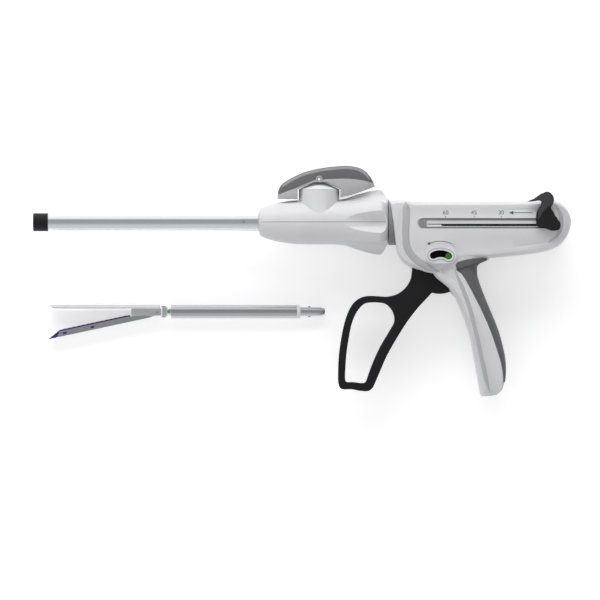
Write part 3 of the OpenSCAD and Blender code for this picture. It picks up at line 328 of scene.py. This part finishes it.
SURFACE = {name: tree_of(name) for name in (
    "housing_left", "housing_right", "knob_upper", "knob_lower", "lever_pad", "return_knob_left",
    "return_knob_right")}
HOUSING_SIDES = ((1, "housing_left", ""), (-1, "housing_right", "_rear"))
SIDES = ((1, ""), (-1, "_rear"))
RAY_START = 0.05                # metres from the shaft's axis, outside every node
ARCH = ((-0.5, 0.0), (-0.36, 0.72), (-0.14, 0.97), (0.14, 0.97), (0.36, 0.72), (0.5, 0.0))  # share of width, of rise
RIBBON_FALL = 2.4               # mm across one row of a ribbon, past which it hangs over an edge and is left out
SKIN_FALL = 1.6                 # mm across one face of a skin, likewise
SKIN_EDGE = 0.8                 # mm, edges longer than this are cut
SKIN_CUTS = 6
SKIN_TUCK = -0.06               # mm, height of a skin's rim
SKIN_CREASE = 60.0
NEIGHBOURS = ((0.7, 0), (-0.7, 0), (0, 0.7), (0, -0.7))     # mm, looked at so that no crest pokes through a skin


def surface_z(name, point, side=1):
    """Height of a node's outer surface over a point, seen from above (side 1) or below (side -1)."""
    origin = Vector((point[0], point[1], TABLE * MM + side * RAY_START))
    hit = SURFACE[name].ray_cast(origin, Vector((0, 0, -side)))
    return hit[0][2] if hit[0] else None


def facing(side):
    """Placing function for one side of the instrument: heights count outwards from the middle plane."""
    return lambda x, y, z: at(x, y, side * z)


def piece(name, vertices, faces, material, body, smooth=True, angle=CREASE):
    """One scene-only piece that rides on a body."""
    mesh = bpy.data.meshes.new(name)
    mesh.from_pydata([tuple(v) for v in vertices], [], faces)
    mesh.validate()
    work = bmesh.new()
    work.from_mesh(mesh)
    bmesh.ops.recalc_face_normals(work, faces=work.faces)
    work.to_mesh(mesh)
    work.free()
    mesh.materials.append(material)
    for polygon in mesh.polygons:
        polygon.use_smooth = smooth
    obj = bpy.data.objects.new(name, mesh)
    bpy.context.scene.collection.objects.link(obj)
    if smooth:
        split_creases(obj, angle)
    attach(obj, body)
    return obj


def stepped(name, rings, material, body):
    """A closed ring whose section is the given rings of points, each joined to the next and the last to the first."""
    n = len(rings[0])
    faces = []
    for r in range(len(rings)):
        s = (r + 1) % len(rings)
        for i in range(n):
            j = (i + 1) % n
            faces.append((r * n + i, r * n + j, s * n + j, s * n + i))
    return piece(name, [p for ring in rings for p in ring], faces, material, body)


def curve_through(points, steps=8):
    """Catmull-Rom points through the given ones."""
    out = []
    for i in range(len(points) - 1):
        a, b = points[max(i - 1, 0)], points[i]
        c, d = points[i + 1], points[min(i + 2, len(points) - 1)]
        for k in range(steps):
            t = k / steps
            out.append(tuple(0.5 * (2 * q + (r - p) * t + (2 * p - 5 * q + 4 * r - s) * t * t
                                    + (3 * q - p - 3 * r + s) * t ** 3) for p, q, r, s in zip(a, b, c, d)))
    out.append(points[-1])
    return out


def heading(line, i):
    """Unit direction of a line at its i-th point."""
    behind, ahead = line[max(i - 1, 0)], line[min(i + 1, len(line) - 1)]
    return Vector((ahead[0] - behind[0], ahead[1] - behind[1])).normalized()


def ribbon(name, line, width, rise, sink, surface, material, body, side=1, taper=0.35, fade=3):
    """A raised bead that follows a line over a node's surface. Its section is a low arch, and it shrinks to the
    taper's share over the last fade points of each end."""
    vertices, faces = [], []
    rows = 0
    for i, (x, y) in enumerate(line):
        direction = heading(line, i)
        across = Vector((-direction[1], direction[0]))
        end = min(1.0, taper + (1 - taper) * min(i, len(line) - 1 - i) / fade)
        row = []
        for share, height in ARCH:
            q = at(x + across[0] * share * width * end, y + across[1] * share * width * end)
            z = surface_z(surface, q, side)
            if z is None:
                row = None
                break
            row.append(Vector((q[0], q[1], z + side * (height * rise * end - sink) * MM)))
        if row is None or max(v[2] for v in row) - min(v[2] for v in row) > RIBBON_FALL * MM:
            continue
        vertices += row
        rows += 1
    n = len(ARCH)
    for i in range(rows - 1):
        for k in range(n - 1):
            a = i * n + k
            faces.append((a, a + 1, a + n + 1, a + n))
    return piece(name, vertices, faces, material, body)


def prism(name, outline, low, high, place, material, body, chamfer=0.0):
    """A plate with an outline in millimetres, whose upper edge is chamfered."""
    count = len(outline)
    cx = sum(p[0] for p in outline) / count
    cy = sum(p[1] for p in outline) / count

    def inset(p):
        d = Vector((cx - p[0], cy - p[1]))
        d = d.normalized() * min(chamfer, d.length * 0.5) if d.length else d
        return p[0] + d[0], p[1] + d[1]

    rings = [[(*p, low) for p in outline], [(*p, high - chamfer) for p in outline],
             [(*inset(p), high) for p in outline]]
    vertices = [place(*p) for ring in rings for p in ring]
    faces = [tuple(range(count - 1, -1, -1)), tuple(range(2 * count, 3 * count))]
    for r in range(2):
        for i in range(count):
            j = (i + 1) % count
            faces.append((r * count + i, r * count + j, (r + 1) * count + j, (r + 1) * count + i))
    return piece(name, vertices, faces, material, body)


def skin(name, outline, surface, rise, material, body, side=1):
    """A thin patch laid over a node's surface: the outline is filled, divided and draped, its rim tucked in."""
    work = bmesh.new()
    work.faces.new([work.verts.new((x, y, 0)) for x, y in outline])
    bmesh.ops.triangulate(work, faces=work.faces[:])
    for _ in range(SKIN_CUTS):
        long_edges = [e for e in work.edges if e.calc_length() > SKIN_EDGE]
        bmesh.ops.subdivide_edges(work, edges=long_edges, cuts=1)
        bmesh.ops.triangulate(work, faces=work.faces[:])
    work.verts.index_update()
    vertices, missing = [], set()
    for v in work.verts:
        q = at(v.co[0], v.co[1])
        z = surface_z(surface, q, side)
        if z is None:
            missing.add(v.index)
        elif not v.is_boundary:
            around = [surface_z(surface, at(v.co[0] + dx, v.co[1] + dy), side) for dx, dy in NEIGHBOURS]
            z = side * max(side * near for near in around + [z] if near is not None)
        lift = SKIN_TUCK if v.is_boundary else rise
        vertices.append(Vector((q[0], q[1], (z or 0.0) + side * lift * MM)))
    faces = []
    for f in work.faces:
        corners = [v.index for v in f.verts]
        depths = [vertices[i][2] for i in corners]
        if not missing.intersection(corners) and max(depths) - min(depths) < SKIN_FALL * MM:
            faces.append(tuple(corners))
    work.free()
    return piece(name, vertices, faces, material, body, angle=SKIN_CREASE)


def draped(name, shapes, surface, side=1):
    """Thin print laid on the handle: every vertex takes the surface's height under it."""
    vertices, faces = [], []
    for points, polygons in shapes:
        base = len(vertices)
        for x, y in points:
            q = at(x, y)
            z = surface_z(surface, q, side)
            height = z if z is not None else (TABLE + PANEL) * MM
            vertices.append(Vector((q[0], q[1], height + side * PRINT_RISE * MM)))
        faces += [tuple(base + i for i in polygon) for polygon in polygons]
    return piece(name, vertices, faces, INK, "handle", smooth=False)


def glyphs(text, x, y, height, mirror=False):
    """Points and polygons of a short number, centred at a place, in millimetres."""
    data = bpy.data.curves.new("number", "FONT")
    data.body = text
    data.align_x = "CENTER"
    data.align_y = "CENTER"
    data.size = height
    data.resolution_u = 3
    obj = bpy.data.objects.new("number", data)
    bpy.context.scene.collection.objects.link(obj)
    bpy.context.view_layer.update()
    mesh = bpy.data.meshes.new_from_object(obj.evaluated_get(bpy.context.evaluated_depsgraph_get()))
    flip = -1 if mirror else 1
    points = [(x + flip * v.co[0], y + v.co[1]) for v in mesh.vertices]
    polygons = [tuple(p.vertices) for p in mesh.polygons]
    bpy.data.objects.remove(obj)
    bpy.data.meshes.remove(mesh)
    return points, polygons


def bar(x0, y0, x1, y1):
    return [(x0, y0), (x1, y0), (x1, y1), (x0, y1)], [(0, 1, 2, 3)]


def arrow_head(foot, away, length, half):
    """A triangle on a foot that points away."""
    cross = (-away[1], away[0])
    return [(foot[0] + away[0] * length, foot[1] + away[1] * length),
            (foot[0] + cross[0] * half, foot[1] + cross[1] * half),
            (foot[0] - cross[0] * half, foot[1] - cross[1] * half)], [(0, 1, 2)]


def strip(points, width):
    """A flat line of even width along points."""
    left, right = [], []
    for i, p in enumerate(points):
        d = heading(points, i) * width / 2
        left.append((p[0] - d[1], p[1] + d[0]))
        right.append((p[0] + d[1], p[1] - d[0]))
    n = len(points)
    return left + right, [(i, i + 1, n + i + 1, n + i) for i in range(n - 1)]


def circle(x, y, radius, count):
    return [(x + radius * math.cos(2 * math.pi * i / count), y + radius * math.sin(2 * math.pi * i / count))
            for i in range(count)]


def arc(x, y, radius, first, last, count=24):
    """Points from one angle to another, in degrees."""
    a, b = math.radians(first), math.radians(last)
    return [(x + radius * math.cos(a + (b - a) * i / count), y + radius * math.sin(a + (b - a) * i / count))
            for i in range(count + 1)]


def boxes(name, spots, place, material, body):
    """Many small blocks as one piece; each spot is low corner, high corner."""
    vertices, faces = [], []
    for (x0, y0, z0), (x1, y1, z1) in spots:
        base = len(vertices)
        corners = [(x, y, z) for z in (z0, z1) for y in (y0, y1) for x in (x0, x1)]
        vertices += [place(*c) for c in corners]
        faces += [tuple(base + i for i in f) for f in
                  ((0, 2, 3, 1), (4, 5, 7, 6), (0, 1, 5, 4), (2, 6, 7, 3), (0, 4, 6, 2), (1, 3, 7, 5))]
    piece(name, vertices, faces, material, body, smooth=False)


def slot_outline(grow):
    """Outline of the safety's curved slot, wider all round by grow."""
    first, last = (arc(*PIVOT, SAFETY_RADIUS, angle, angle, 1)[0] for angle in (SAFETY_FIRST, SAFETY_LAST))
    half = SAFETY_HALF + grow
    return (arc(*PIVOT, SAFETY_RADIUS + half, SAFETY_FIRST, SAFETY_LAST)
            + arc(*last, half, SAFETY_LAST, SAFETY_LAST + 180, 12)[1:-1]
            + arc(*PIVOT, SAFETY_RADIUS - half, SAFETY_LAST, SAFETY_FIRST)
            + arc(*first, half, SAFETY_FIRST + 180, SAFETY_FIRST + 360, 12)[1:-1])


def slot_sleeve(name, grow_out, grow_in, low, high, material):
    """A wall that follows the safety's slot."""
    outer, inner = slot_outline(grow_out), slot_outline(grow_in)
    rings = [[at(*p, z) for p in ring] for ring, z in ((outer, low), (outer, high), (inner, high), (inner, low))]
    return stepped(name, rings, material, "handle")


# ---------------------------------------------------------------- print
PRINT_RISE = 0.02
SCALE_ROW = 212.9               # pixel row of the numbers and of the arrow
SCALE = (("60", 445.3), ("45", 473.7), ("30", 500.8))       # each number and its pixel column
NUMBER_HEIGHT = 3.9
ARROW_COLUMN = 522.0

# Scale over the firing slot, on both sides: numbers, marks, and an arrow that points the way the knobs run
for side, node, tail in HOUSING_SIDES:
    marks = []
    for text, column in SCALE:
        x, y = from_photo(column, SCALE_ROW)
        marks.append(glyphs(text, x, y, NUMBER_HEIGHT, mirror=side < 0))
        marks.append(bar(x - 0.16, y - 3.3, x + 0.16, y - 2.1))
    x, y = from_photo(ARROW_COLUMN, SCALE_ROW)
    marks += [bar(x - 6.4, y - 0.22, x + 6.8, y + 0.22), arrow_head((x - 6.0, y), (-1, 0), 3.0, 1.2)]
    draped("slot_scale" + tail, marks, node, side)

# Arrow along the safety's travel, above its slot
turn = arc(*PIVOT, 18.2, 66, 112, 20)
draped("safety_arrow", [strip(turn, 0.4), arrow_head(turn[-1], heading(turn, len(turn) - 1), 2.2, 1.1)],
               "housing_left")

# ---------------------------------------------------------------- handle
# Grey floor of each slot recess, darkened as painted shade, and the pale guide rails beside the through slot
RECESS_TOP, RECESS_FOOT = 2.66, -4.46
RECESS_RADIUS = (RECESS_TOP - RECESS_FOOT) / 2
RECESS_LEFT, RAILS_LEFT, RECESS_RIGHT = (from_photo(column, 0)[0] for column in (418.2, 426.5, 548))
THROUGH_TOP, THROUGH_FOOT = -1.2, -3.0          # the through slot, which the floor leaves free
FLOOR_HEIGHTS = (PANEL - 1.78, PANEL - 1.62)
RAIL_HEIGHTS = (PANEL - 1.72, PANEL - 1.2)
RAIL_CHAMFER = 0.12
recess_middle = (RECESS_TOP + RECESS_FOOT) / 2
left_end = [(RECESS_LEFT + RECESS_RADIUS + RECESS_RADIUS * math.cos(math.radians(a)),
             recess_middle + RECESS_RADIUS * math.sin(math.radians(a))) for a in range(90, 271, 15)]
floor_outline = left_end + [(RECESS_RIGHT, RECESS_FOOT), (RECESS_RIGHT, THROUGH_FOOT), (RAILS_LEFT, THROUGH_FOOT),
                            (RAILS_LEFT, THROUGH_TOP), (RECESS_RIGHT, THROUGH_TOP), (RECESS_RIGHT, RECESS_TOP)]
rail_outline = [(RAILS_LEFT, -1.33), (RECESS_RIGHT, -1.33), (RECESS_RIGHT, 0.85), (RAILS_LEFT + 0.9, 0.85),
                (RAILS_LEFT, 0.3)]
low_rail_outline = [(RAILS_LEFT, -3.4), (RECESS_RIGHT, -3.4), (RECESS_RIGHT, -2.82), (RAILS_LEFT, -2.82)]
for side, tail in SIDES:
    prism("recess_floor" + tail, floor_outline, *FLOOR_HEIGHTS, facing(side), RECESS_SHADE_GREY, "handle")
    for name, outline in (("slot_rail", rail_outline), ("slot_rail_low", low_rail_outline)):
        prism(name + tail, outline, *RAIL_HEIGHTS, facing(side), STRIP, "handle", RAIL_CHAMFER)

# Safety slot: black lining as painted shade inside it, painted shadow at the foot of its ring, and the ring. Numbers:
# growth outside and inside, heights
slot_sleeve("safety_slot_lining", -0.01, -0.13, 10.0, 17.55, SHADOW_BLACK)
slot_sleeve("safety_ring_foot", 1.5, 1.1, 17.0, 17.76, RECESS_SHADE_GREY)
slot_sleeve("safety_ring", 1.15, -0.02, 17.2, 18.1, WHITE)


def photo_line(*pixels):
    return [from_photo(*p) for p in pixels]


# Beads and creases on both housing halves; the front bead, the rear crescent and the groove beside the crease are
# darker as painted shade
rear_line = curve_through(photo_line(
    (552.5, 203.5), (557.8, 209.5), (560.6, 219), (559.8, 229), (555.5, 237), (547, 242.5)))
front_line = curve_through(photo_line(
    (405.2, 201.6), (406.0, 208), (405.8, 222), (405.4, 234), (406.5, 246), (410.5, 254), (418, 261.5),
    (428.5, 267.5), (440, 272)))
front_edge = curve_through(photo_line((398.5, 208), (398.3, 216), (397.6, 228), (397.2, 240), (399.5, 250)))
crease = curve_through(photo_line(
    (450, 267), (456, 281), (462, 296), (467, 311), (471.5, 328), (475.6, 346), (480, 366), (484, 384), (487, 394)))
beside_crease = [(x + 1.9, y + 0.5) for x, y in crease]
BEADS = (
    # name, line, width, rise, sink, material, taper, fade
    ("rear_crescent", rear_line, 3.2, 0.16, 0.03, PAINTED_SHADE_WHITE, 0.1, 14),
    ("front_bead", front_line, 4.8, 0.9, 0.05, PAINTED_SHADE_WHITE, 0.1, 9),
    ("front_lip", front_edge, 1.3, 0.22, 0.05, WHITE, 0.35, 3),
    ("grip_crease", crease, 1.5, 0.4, 0.03, WHITE, 0.35, 3),
    ("grip_groove", beside_crease, 3.0, 0.22, 0.03, PAINTED_SHADE_WHITE, 0.1, 12),
)
for side, node, tail in HOUSING_SIDES:
    for name, line, width, rise, sink, material, taper, fade in BEADS:
        ribbon(name + tail, line, width, rise, sink, node, material, "handle", side, taper, fade)

# Rubber that runs from the grip pad up to the barrel's lower edge
PAD_TOP_RISE = 0.8
pad_top = photo_line(
    (455.2, 265.2), (457.2, 262.2), (464, 259.8), (472.4, 258.4), (482, 258), (491.2, 258.4), (490, 260.6),
    (484, 264), (479.5, 268), (472.0, 272), (465.5, 273), (459.5, 271.5), (456.2, 268.5))
for side, node, tail in HOUSING_SIDES:
    skin("pad_top" + tail, pad_top, node, PAD_TOP_RISE, RUBBER, "handle", side)

# ---------------------------------------------------------------- lever, knob, return knobs and neck
# Painted highlight along the top edge of the lever's pad, whose crest is looked for from above in each column
CREST_LEFT, CREST_STEP, CREST_COLUMNS = -85.0, 0.9, 90
SEARCH_TOP, SEARCH_STEP, SEARCH_ROWS = 46.0, 0.1, 300
CREST_INSET = 1.25
crest = []
for k in range(CREST_COLUMNS):
    x = CREST_LEFT + k * CREST_STEP
    heights = [SEARCH_TOP - SEARCH_STEP * n for n in range(SEARCH_ROWS)]
    y = next((y for y in heights if surface_z("lever_pad", at(x, y))), None)
    if y is not None:
        crest.append((x, y))
crest = crest[1:-1]
inset = []
for i, (x, y) in enumerate(crest):
    d = heading(crest, i)
    inset.append((x + d[1] * CREST_INSET, y - d[0] * CREST_INSET))
for side, tail in SIDES:
    ribbon("pad_edge" + tail, inset, 1.8, 0.16, 0.03, "lever_pad", HIGHLIGHT_EDGE_GREY, "lever", side, taper=0.2)

# Dark seam between the knob's halves
SEAM_LEFT, SEAM_LENGTH, SEAM_STEPS = -84.0, 82.5, 59
SEAM_WIDTH = 0.32
SEAM_RISE = 0.03
BESIDE_SEAM = 0.12              # where each half's height is taken
for side, tail in SIDES:
    rows = []
    for k in range(SEAM_STEPS + 1):
        x = SEAM_LEFT + k * SEAM_LENGTH / SEAM_STEPS
        if surface_z("knob_upper", at(x, 0.2), side) is not None:
            rows.append((x, 0.0))
    points, polygons = strip(rows, SEAM_WIDTH)
    vertices = []
    for x, y in points:
        q = at(x, y)
        node, beside = ("knob_upper", BESIDE_SEAM) if y > 0 else ("knob_lower", -BESIDE_SEAM)
        z = surface_z(node, at(x, beside), side)
        vertices.append(Vector((q[0], q[1], (z if z is not None else TABLE * MM) + side * SEAM_RISE * MM)))
    piece("knob_seam" + tail, vertices, polygons, MID_GREY, "rotator", smooth=False)

# Curved lighter band, a painted sheen, and round boss on each return knob. The band was outlined on an enlarged crop
# of the photograph
CROP_CORNER, CROP_ZOOM = (500, 180), 19.6
band_outline = [from_photo(CROP_CORNER[0] + cx / CROP_ZOOM, CROP_CORNER[1] + cy / CROP_ZOOM) for cx, cy in (
    (520, 425), (610, 382), (700, 345), (780, 300), (850, 258), (915, 245), (955, 268), (995, 315), (1025, 372),
    (1034, 402), (1010, 468), (955, 525), (878, 583), (800, 675), (775, 745), (735, 775), (696, 776), (720, 730),
    (722, 655), (722, 600), (732, 545), (748, 500), (796, 430), (740, 424), (660, 424), (590, 430))]
boss = circle(*from_photo(551.2, 221.2), 3.9, 48)
BOSS_FOOT = 20.3
for side, node, tail, boss_top in ((1, "return_knob_left", "", 21.1), (-1, "return_knob_right", "_rear", 20.62)):
    skin("return_band" + tail, band_outline, node, 0.05, SHEEN_BLACK, "firing_train", side)
    prism("return_boss" + tail, boss, BOSS_FOOT, boss_top, facing(side), KNOB_BLACK, "firing_train", 0.3)

# Dimple button on the neck sleeve
nx, ny = from_photo(243.5, 221.6)


def on_neck(x, y, z):
    return at(nx + x, ny + y, NECK_RADIUS + z - y * y / (2 * NECK_RADIUS))


prism("neck_rivet", circle(0, 0, 1.15, 32), -0.25, 0.16, on_neck, STEEL, "rotator", 0.12)

# ---------------------------------------------------------------- reload
# Green mark on the wrist cone
CONE_START, CONE_LENGTH = 6.4, 2.9
CONE_SMALL = 2.79
MARK_START, MARK_LENGTH = 6.9, 1.6
MARK_SPAN = 0.5                 # radians round the reload
MARK_ROWS = 6


def on_cone(x, angle, rise=0.03):
    """Point on the wrist cone at an angle round the reload's axis."""
    radius = CONE_SMALL + (RELOAD_RADIUS - CONE_SMALL) * (x - CONE_START) / CONE_LENGTH + rise
    return at_reload(x, radius * math.sin(angle), radius * math.cos(angle))


n = MARK_ROWS + 1
vertices = [on_cone(MARK_START + MARK_LENGTH * i / MARK_ROWS, MARK_SPAN * (k / MARK_ROWS - 0.5))
            for i in range(n) for k in range(n)]
faces = [(i * n + k, i * n + k + 1, (i + 1) * n + k + 1, (i + 1) * n + k)
         for i in range(MARK_ROWS) for k in range(MARK_ROWS)]
piece("wrist_mark", vertices, faces, GREEN_MARK, "reload")

POCKET_ROWS = (-2.15, -1.55, -0.95, 0.95, 1.55, 2.15)
POCKETS_A_ROW = 22
POCKET_PITCH = 1.95
POCKET_STAGGER = 0.97


def pocket_rows(start, half_length, half_width, low, high):
    """Six staggered rows of small blocks along a jaw."""
    spots = []
    for row, z in enumerate(POCKET_ROWS):
        for k in range(POCKETS_A_ROW):
            x = start + k * POCKET_PITCH + (POCKET_STAGGER if row % 2 else 0.0)
            spots.append(((x - half_length, low, z - half_width), (x + half_length, high, z + half_width)))
    return spots


# Cartridge: staple pockets as near-black blocks of painted shade, scalloped edges, and windows through the channel;
# then the anvil's pockets, likewise painted shade
boxes("staple_pockets", pocket_rows(-62.5, 0.55, 0.14, 2.1, 2.165), at_jaw, SHADOW_BLACK, "lower_jaw")

SCALLOPS, SCALLOP_START, SCALLOP_PITCH = 14, -62.6, 3.15
SCALLOP_HALF, SCALLOP_RISE = 1.35, 0.28
CARTRIDGE_TOP = 2.1
SCALLOP_OUTER, SCALLOP_INNER = 2.63, 2.3        # mm from the jaw's middle plane
ARC_STEPS = 8
vertices, faces = [], []
for side in (-1, 1):
    for k in range(SCALLOPS):
        x = SCALLOP_START + k * SCALLOP_PITCH
        base, n = len(vertices), ARC_STEPS + 1
        angles = [math.pi * i / ARC_STEPS for i in range(n)]
        rim = [(x + SCALLOP_HALF * math.cos(a), CARTRIDGE_TOP + SCALLOP_RISE * math.sin(a)) for a in angles]
        vertices += [at_jaw(*p, side * z) for z in (SCALLOP_OUTER, SCALLOP_INNER) for p in rim]
        faces.append(tuple(base + i for i in range(n)))
        faces.append(tuple(base + n + i for i in reversed(range(n))))
        faces += [(base + i, base + i + 1, base + n + i + 1, base + n + i) for i in range(ARC_STEPS)]
        faces.append((base + n - 1, base, base + n, base + 2 * n - 1))
piece("cartridge_scallops", vertices, faces, PURPLE, "lower_jaw")

windows = []
for x in (-62.9, -44.2):
    for side in (-1, 1):
        near, far = sorted((side * 3.16, side * 3.23))
        windows.append(((x - 1.25, -1.1, near), (x + 1.25, 0.2, far)))
boxes("channel_windows", windows, at_jaw, PURPLE, "lower_jaw")

boxes("anvil_pockets", pocket_rows(-63.5, 0.6, 0.16, 1.94, 2.01), at_reload, SHADOW_BLACK, "jaw_base")

# Heads of the jaw pin
pin_head = circle(0, -JAW_DROP, 0.9, 32)
prism("jaw_pin_head", pin_head, 4.3, 4.47, at_reload, BRIGHT, "jaw_base", 0.05)
prism("jaw_pin_head_rear", pin_head, -4.3, -4.47, at_reload, BRIGHT, "jaw_base")

# ---------------------------------------------------------------- screws of the right half
SCREWS = ((417, 246), (560, 229), (497, 240), (489, 372), (462, 300))       # pixels, as seen through from the left
SCREW_POINTS = 36
RIM_SECTION = ((2.6, 0.02), (2.45, 0.12), (2.05, 0.12), (1.95, -0.02))      # radius, rise
HEAD_RADIUS = 1.9
HEAD_SINK, HEAD_RISE = 0.1, 0.16
CROSS_RISE = 0.19
CROSS_LONG, CROSS_SHORT = 1.2, 0.2
for k, pixel in enumerate(SCREWS):
    sx, sy = from_photo(*pixel)
    z = surface_z("housing_right", at(sx, sy), -1)
    depth = abs(z / MM - TABLE)
    vertices, faces = [], []
    for radius, rise in RIM_SECTION:
        for p in circle(sx, sy, radius, SCREW_POINTS):
            h = surface_z("housing_right", at(*p), -1) or z
            vertices.append(at(p[0], p[1], -(abs(h / MM - TABLE) + rise)))
    for r in range(len(RIM_SECTION) - 1):
        for i in range(SCREW_POINTS):
            j = (i + 1) % SCREW_POINTS
            low, high = r * SCREW_POINTS, (r + 1) * SCREW_POINTS
            faces.append((low + i, low + j, high + j, high + i))
    piece(f"screw_rim_{k}", vertices, faces, WHITE, "handle")
    prism(f"screw_head_{k}", circle(sx, sy, HEAD_RADIUS, SCREW_POINTS), depth - HEAD_SINK,
                  depth + HEAD_RISE, facing(-1), STEEL, "handle", 0.1)
    # Near-black cross on each head: painted shade of the screw's slot
    cross_bars = [((sx - a, sy - b, -depth - CROSS_RISE), (sx + a, sy + b, -depth - HEAD_SINK))
                  for a, b in ((CROSS_LONG, CROSS_SHORT), (CROSS_SHORT, CROSS_LONG))]
    boxes(f"screw_cross_{k}", cross_bars, at, SHADOW_BLACK, "handle")


# ---------------------------------------------------------------- floor, light and camera
FLOOR_HALF, FLOOR_Z = 6, -0.0002                # metres
FLOOR_COLOR, FLOOR_GLOW = (0.76, 0.76, 0.765, 1), 0.5
SKY_COLOR, SKY_STRENGTH = (0.93, 0.93, 0.945, 1), 0.34
REFLECTED_BANDS = [             # from the picture's lower side to its upper side
    (0.0, (0.66, 0.66, 0.68)), (0.22, (0.60, 0.60, 0.61)), (0.36, (0.38, 0.38, 0.385)), (0.60, (0.36, 0.36, 0.365)),
    (0.78, (0.30, 0.30, 0.305)), (0.85, (1.0, 1.0, 1.0)), (1.0, (1.0, 1.0, 1.0))]
ON_THE_TABLE = (0.0, 0.0, 0.02)
CAMERA_HEIGHT = 3.0             # metres
PLANE_HEIGHT = 0.03             # of the plane that the photograph's scale holds in, in metres
SENSOR = 36.0


def emission_for(tree, color, strength):
    """Light of one colour that only camera, glossy and transmission rays see."""
    path = add(tree, "ShaderNodeLightPath")
    glossy = add(tree, "ShaderNodeMath", operation="MAXIMUM")
    tree.links.new(path.outputs["Is Camera Ray"], glossy.inputs[0])
    tree.links.new(path.outputs["Is Glossy Ray"], glossy.inputs[1])
    both = add(tree, "ShaderNodeMath", operation="MAXIMUM")
    tree.links.new(glossy.outputs[0], both.inputs[0])
    tree.links.new(path.outputs["Is Transmission Ray"], both.inputs[1])
    level = add(tree, "ShaderNodeMath", operation="MULTIPLY")
    level.inputs[1].default_value = strength
    tree.links.new(both.outputs[0], level.inputs[0])
    light = add(tree, "ShaderNodeEmission", Color=(*color, 1))
    tree.links.new(level.outputs[0], light.inputs["Strength"])
    return light


def build_floor():
    """A wide matt sheet with a little light of its own, so that it stays white round the shadows."""
    mesh = bpy.data.meshes.new("floor")
    mesh.from_pydata([(-FLOOR_HALF, -FLOOR_HALF, 0), (FLOOR_HALF, -FLOOR_HALF, 0), (FLOOR_HALF, FLOOR_HALF, 0),
                      (-FLOOR_HALF, FLOOR_HALF, 0)], [], [(0, 1, 2, 3)])
    floor = bpy.data.objects.new("floor", mesh)
    bpy.context.scene.collection.objects.link(floor)
    floor.location.z = FLOOR_Z
    material = bpy.data.materials.new("floor")
    material.use_nodes = True
    tree = material.node_tree
    tree.nodes.clear()
    out = tree.nodes.new("ShaderNodeOutputMaterial")
    diffuse = add(tree, "ShaderNodeBsdfDiffuse", Color=FLOOR_COLOR)
    both = add(tree, "ShaderNodeAddShader")
    tree.links.new(diffuse.outputs[0], both.inputs[0])
    tree.links.new(emission_for(tree, (1, 1, 1), FLOOR_GLOW).outputs[0], both.inputs[1])
    tree.links.new(both.outputs[0], out.inputs[0])
    mesh.materials.append(material)


def build_world():
    """Even soft sky for the light, dark and bright bands for the reflections, plain white for the camera."""
    world = bpy.data.worlds.new("studio")
    bpy.context.scene.world = world
    world.use_nodes = True
    tree = world.node_tree
    tree.nodes.clear()
    out = tree.nodes.new("ShaderNodeOutputWorld")
    coords = add(tree, "ShaderNodeTexCoord")
    axes = add(tree, "ShaderNodeSeparateXYZ")
    tree.links.new(coords.outputs["Generated"], axes.inputs[0])
    sweep = add(tree, "ShaderNodeMapRange")
    sweep.inputs["From Min"].default_value = -1.0
    sweep.inputs["From Max"].default_value = 1.0
    tree.links.new(axes.outputs["Y"], sweep.inputs["Value"])
    tone = ramp_node(tree, sweep.outputs["Result"], REFLECTED_BANDS)
    sky = add(tree, "ShaderNodeBackground", Color=SKY_COLOR, Strength=SKY_STRENGTH)
    bands = add(tree, "ShaderNodeBackground", Strength=1.0)
    tree.links.new(tone, bands.inputs["Color"])
    plain = add(tree, "ShaderNodeBackground", Color=(1, 1, 1, 1), Strength=1.0)
    path = add(tree, "ShaderNodeLightPath")
    mirrored = add(tree, "ShaderNodeMixShader")
    tree.links.new(path.outputs["Is Glossy Ray"], mirrored.inputs[0])
    tree.links.new(sky.outputs[0], mirrored.inputs[1])
    tree.links.new(bands.outputs[0], mirrored.inputs[2])
    choose = add(tree, "ShaderNodeMixShader")
    tree.links.new(path.outputs["Is Camera Ray"], choose.inputs[0])
    tree.links.new(mirrored.outputs[0], choose.inputs[1])
    tree.links.new(plain.outputs[0], choose.inputs[2])
    tree.links.new(choose.outputs[0], out.inputs[0])


def area(name, place, target, size, power):
    """A soft rectangular light that doesn't show in reflections."""
    data = bpy.data.lights.new(name, "AREA")
    data.shape = "RECTANGLE"
    data.size, data.size_y = size
    data.energy = power
    obj = bpy.data.objects.new(name, data)
    bpy.context.scene.collection.objects.link(obj)
    obj.location = place
    obj.rotation_euler = (Vector(target) - Vector(place)).to_track_quat("-Z", "Y").to_euler()
    obj.visible_glossy = False


build_floor()
build_world()
area("key", (-0.1, 1.0, 0.55), ON_THE_TABLE, (1.7, 0.6), 12.5)
area("fill", (0.1, -1.0, 0.6), ON_THE_TABLE, (1.7, 0.6), 4.0)
area("overhead", (0.1, 0.1, 1.3), (0.0, -0.02, 0.0), (1.1, 0.7), 1.15)
area("side", (-1.0, -0.35, 0.45), ON_THE_TABLE, (0.6, 0.5), 2.2)

camera_data = bpy.data.cameras.new("camera")
camera = bpy.data.objects.new("camera", camera_data)
bpy.context.scene.collection.objects.link(camera)
middle = at(*from_photo(PHOTO_SIDE / 2, PHOTO_SIDE / 2))
camera.location = (middle[0], middle[1], CAMERA_HEIGHT)
camera.rotation_euler = (0, 0, 0)
camera_data.sensor_width = SENSOR
camera_data.lens = SENSOR * (CAMERA_HEIGHT - PLANE_HEIGHT) / (PHOTO_SIDE * PIXEL * MM)
camera_data.clip_start, camera_data.clip_end = 0.1, 20.0
bpy.context.scene.camera = camera
bpy.context.scene.view_settings.view_transform = "Standard"
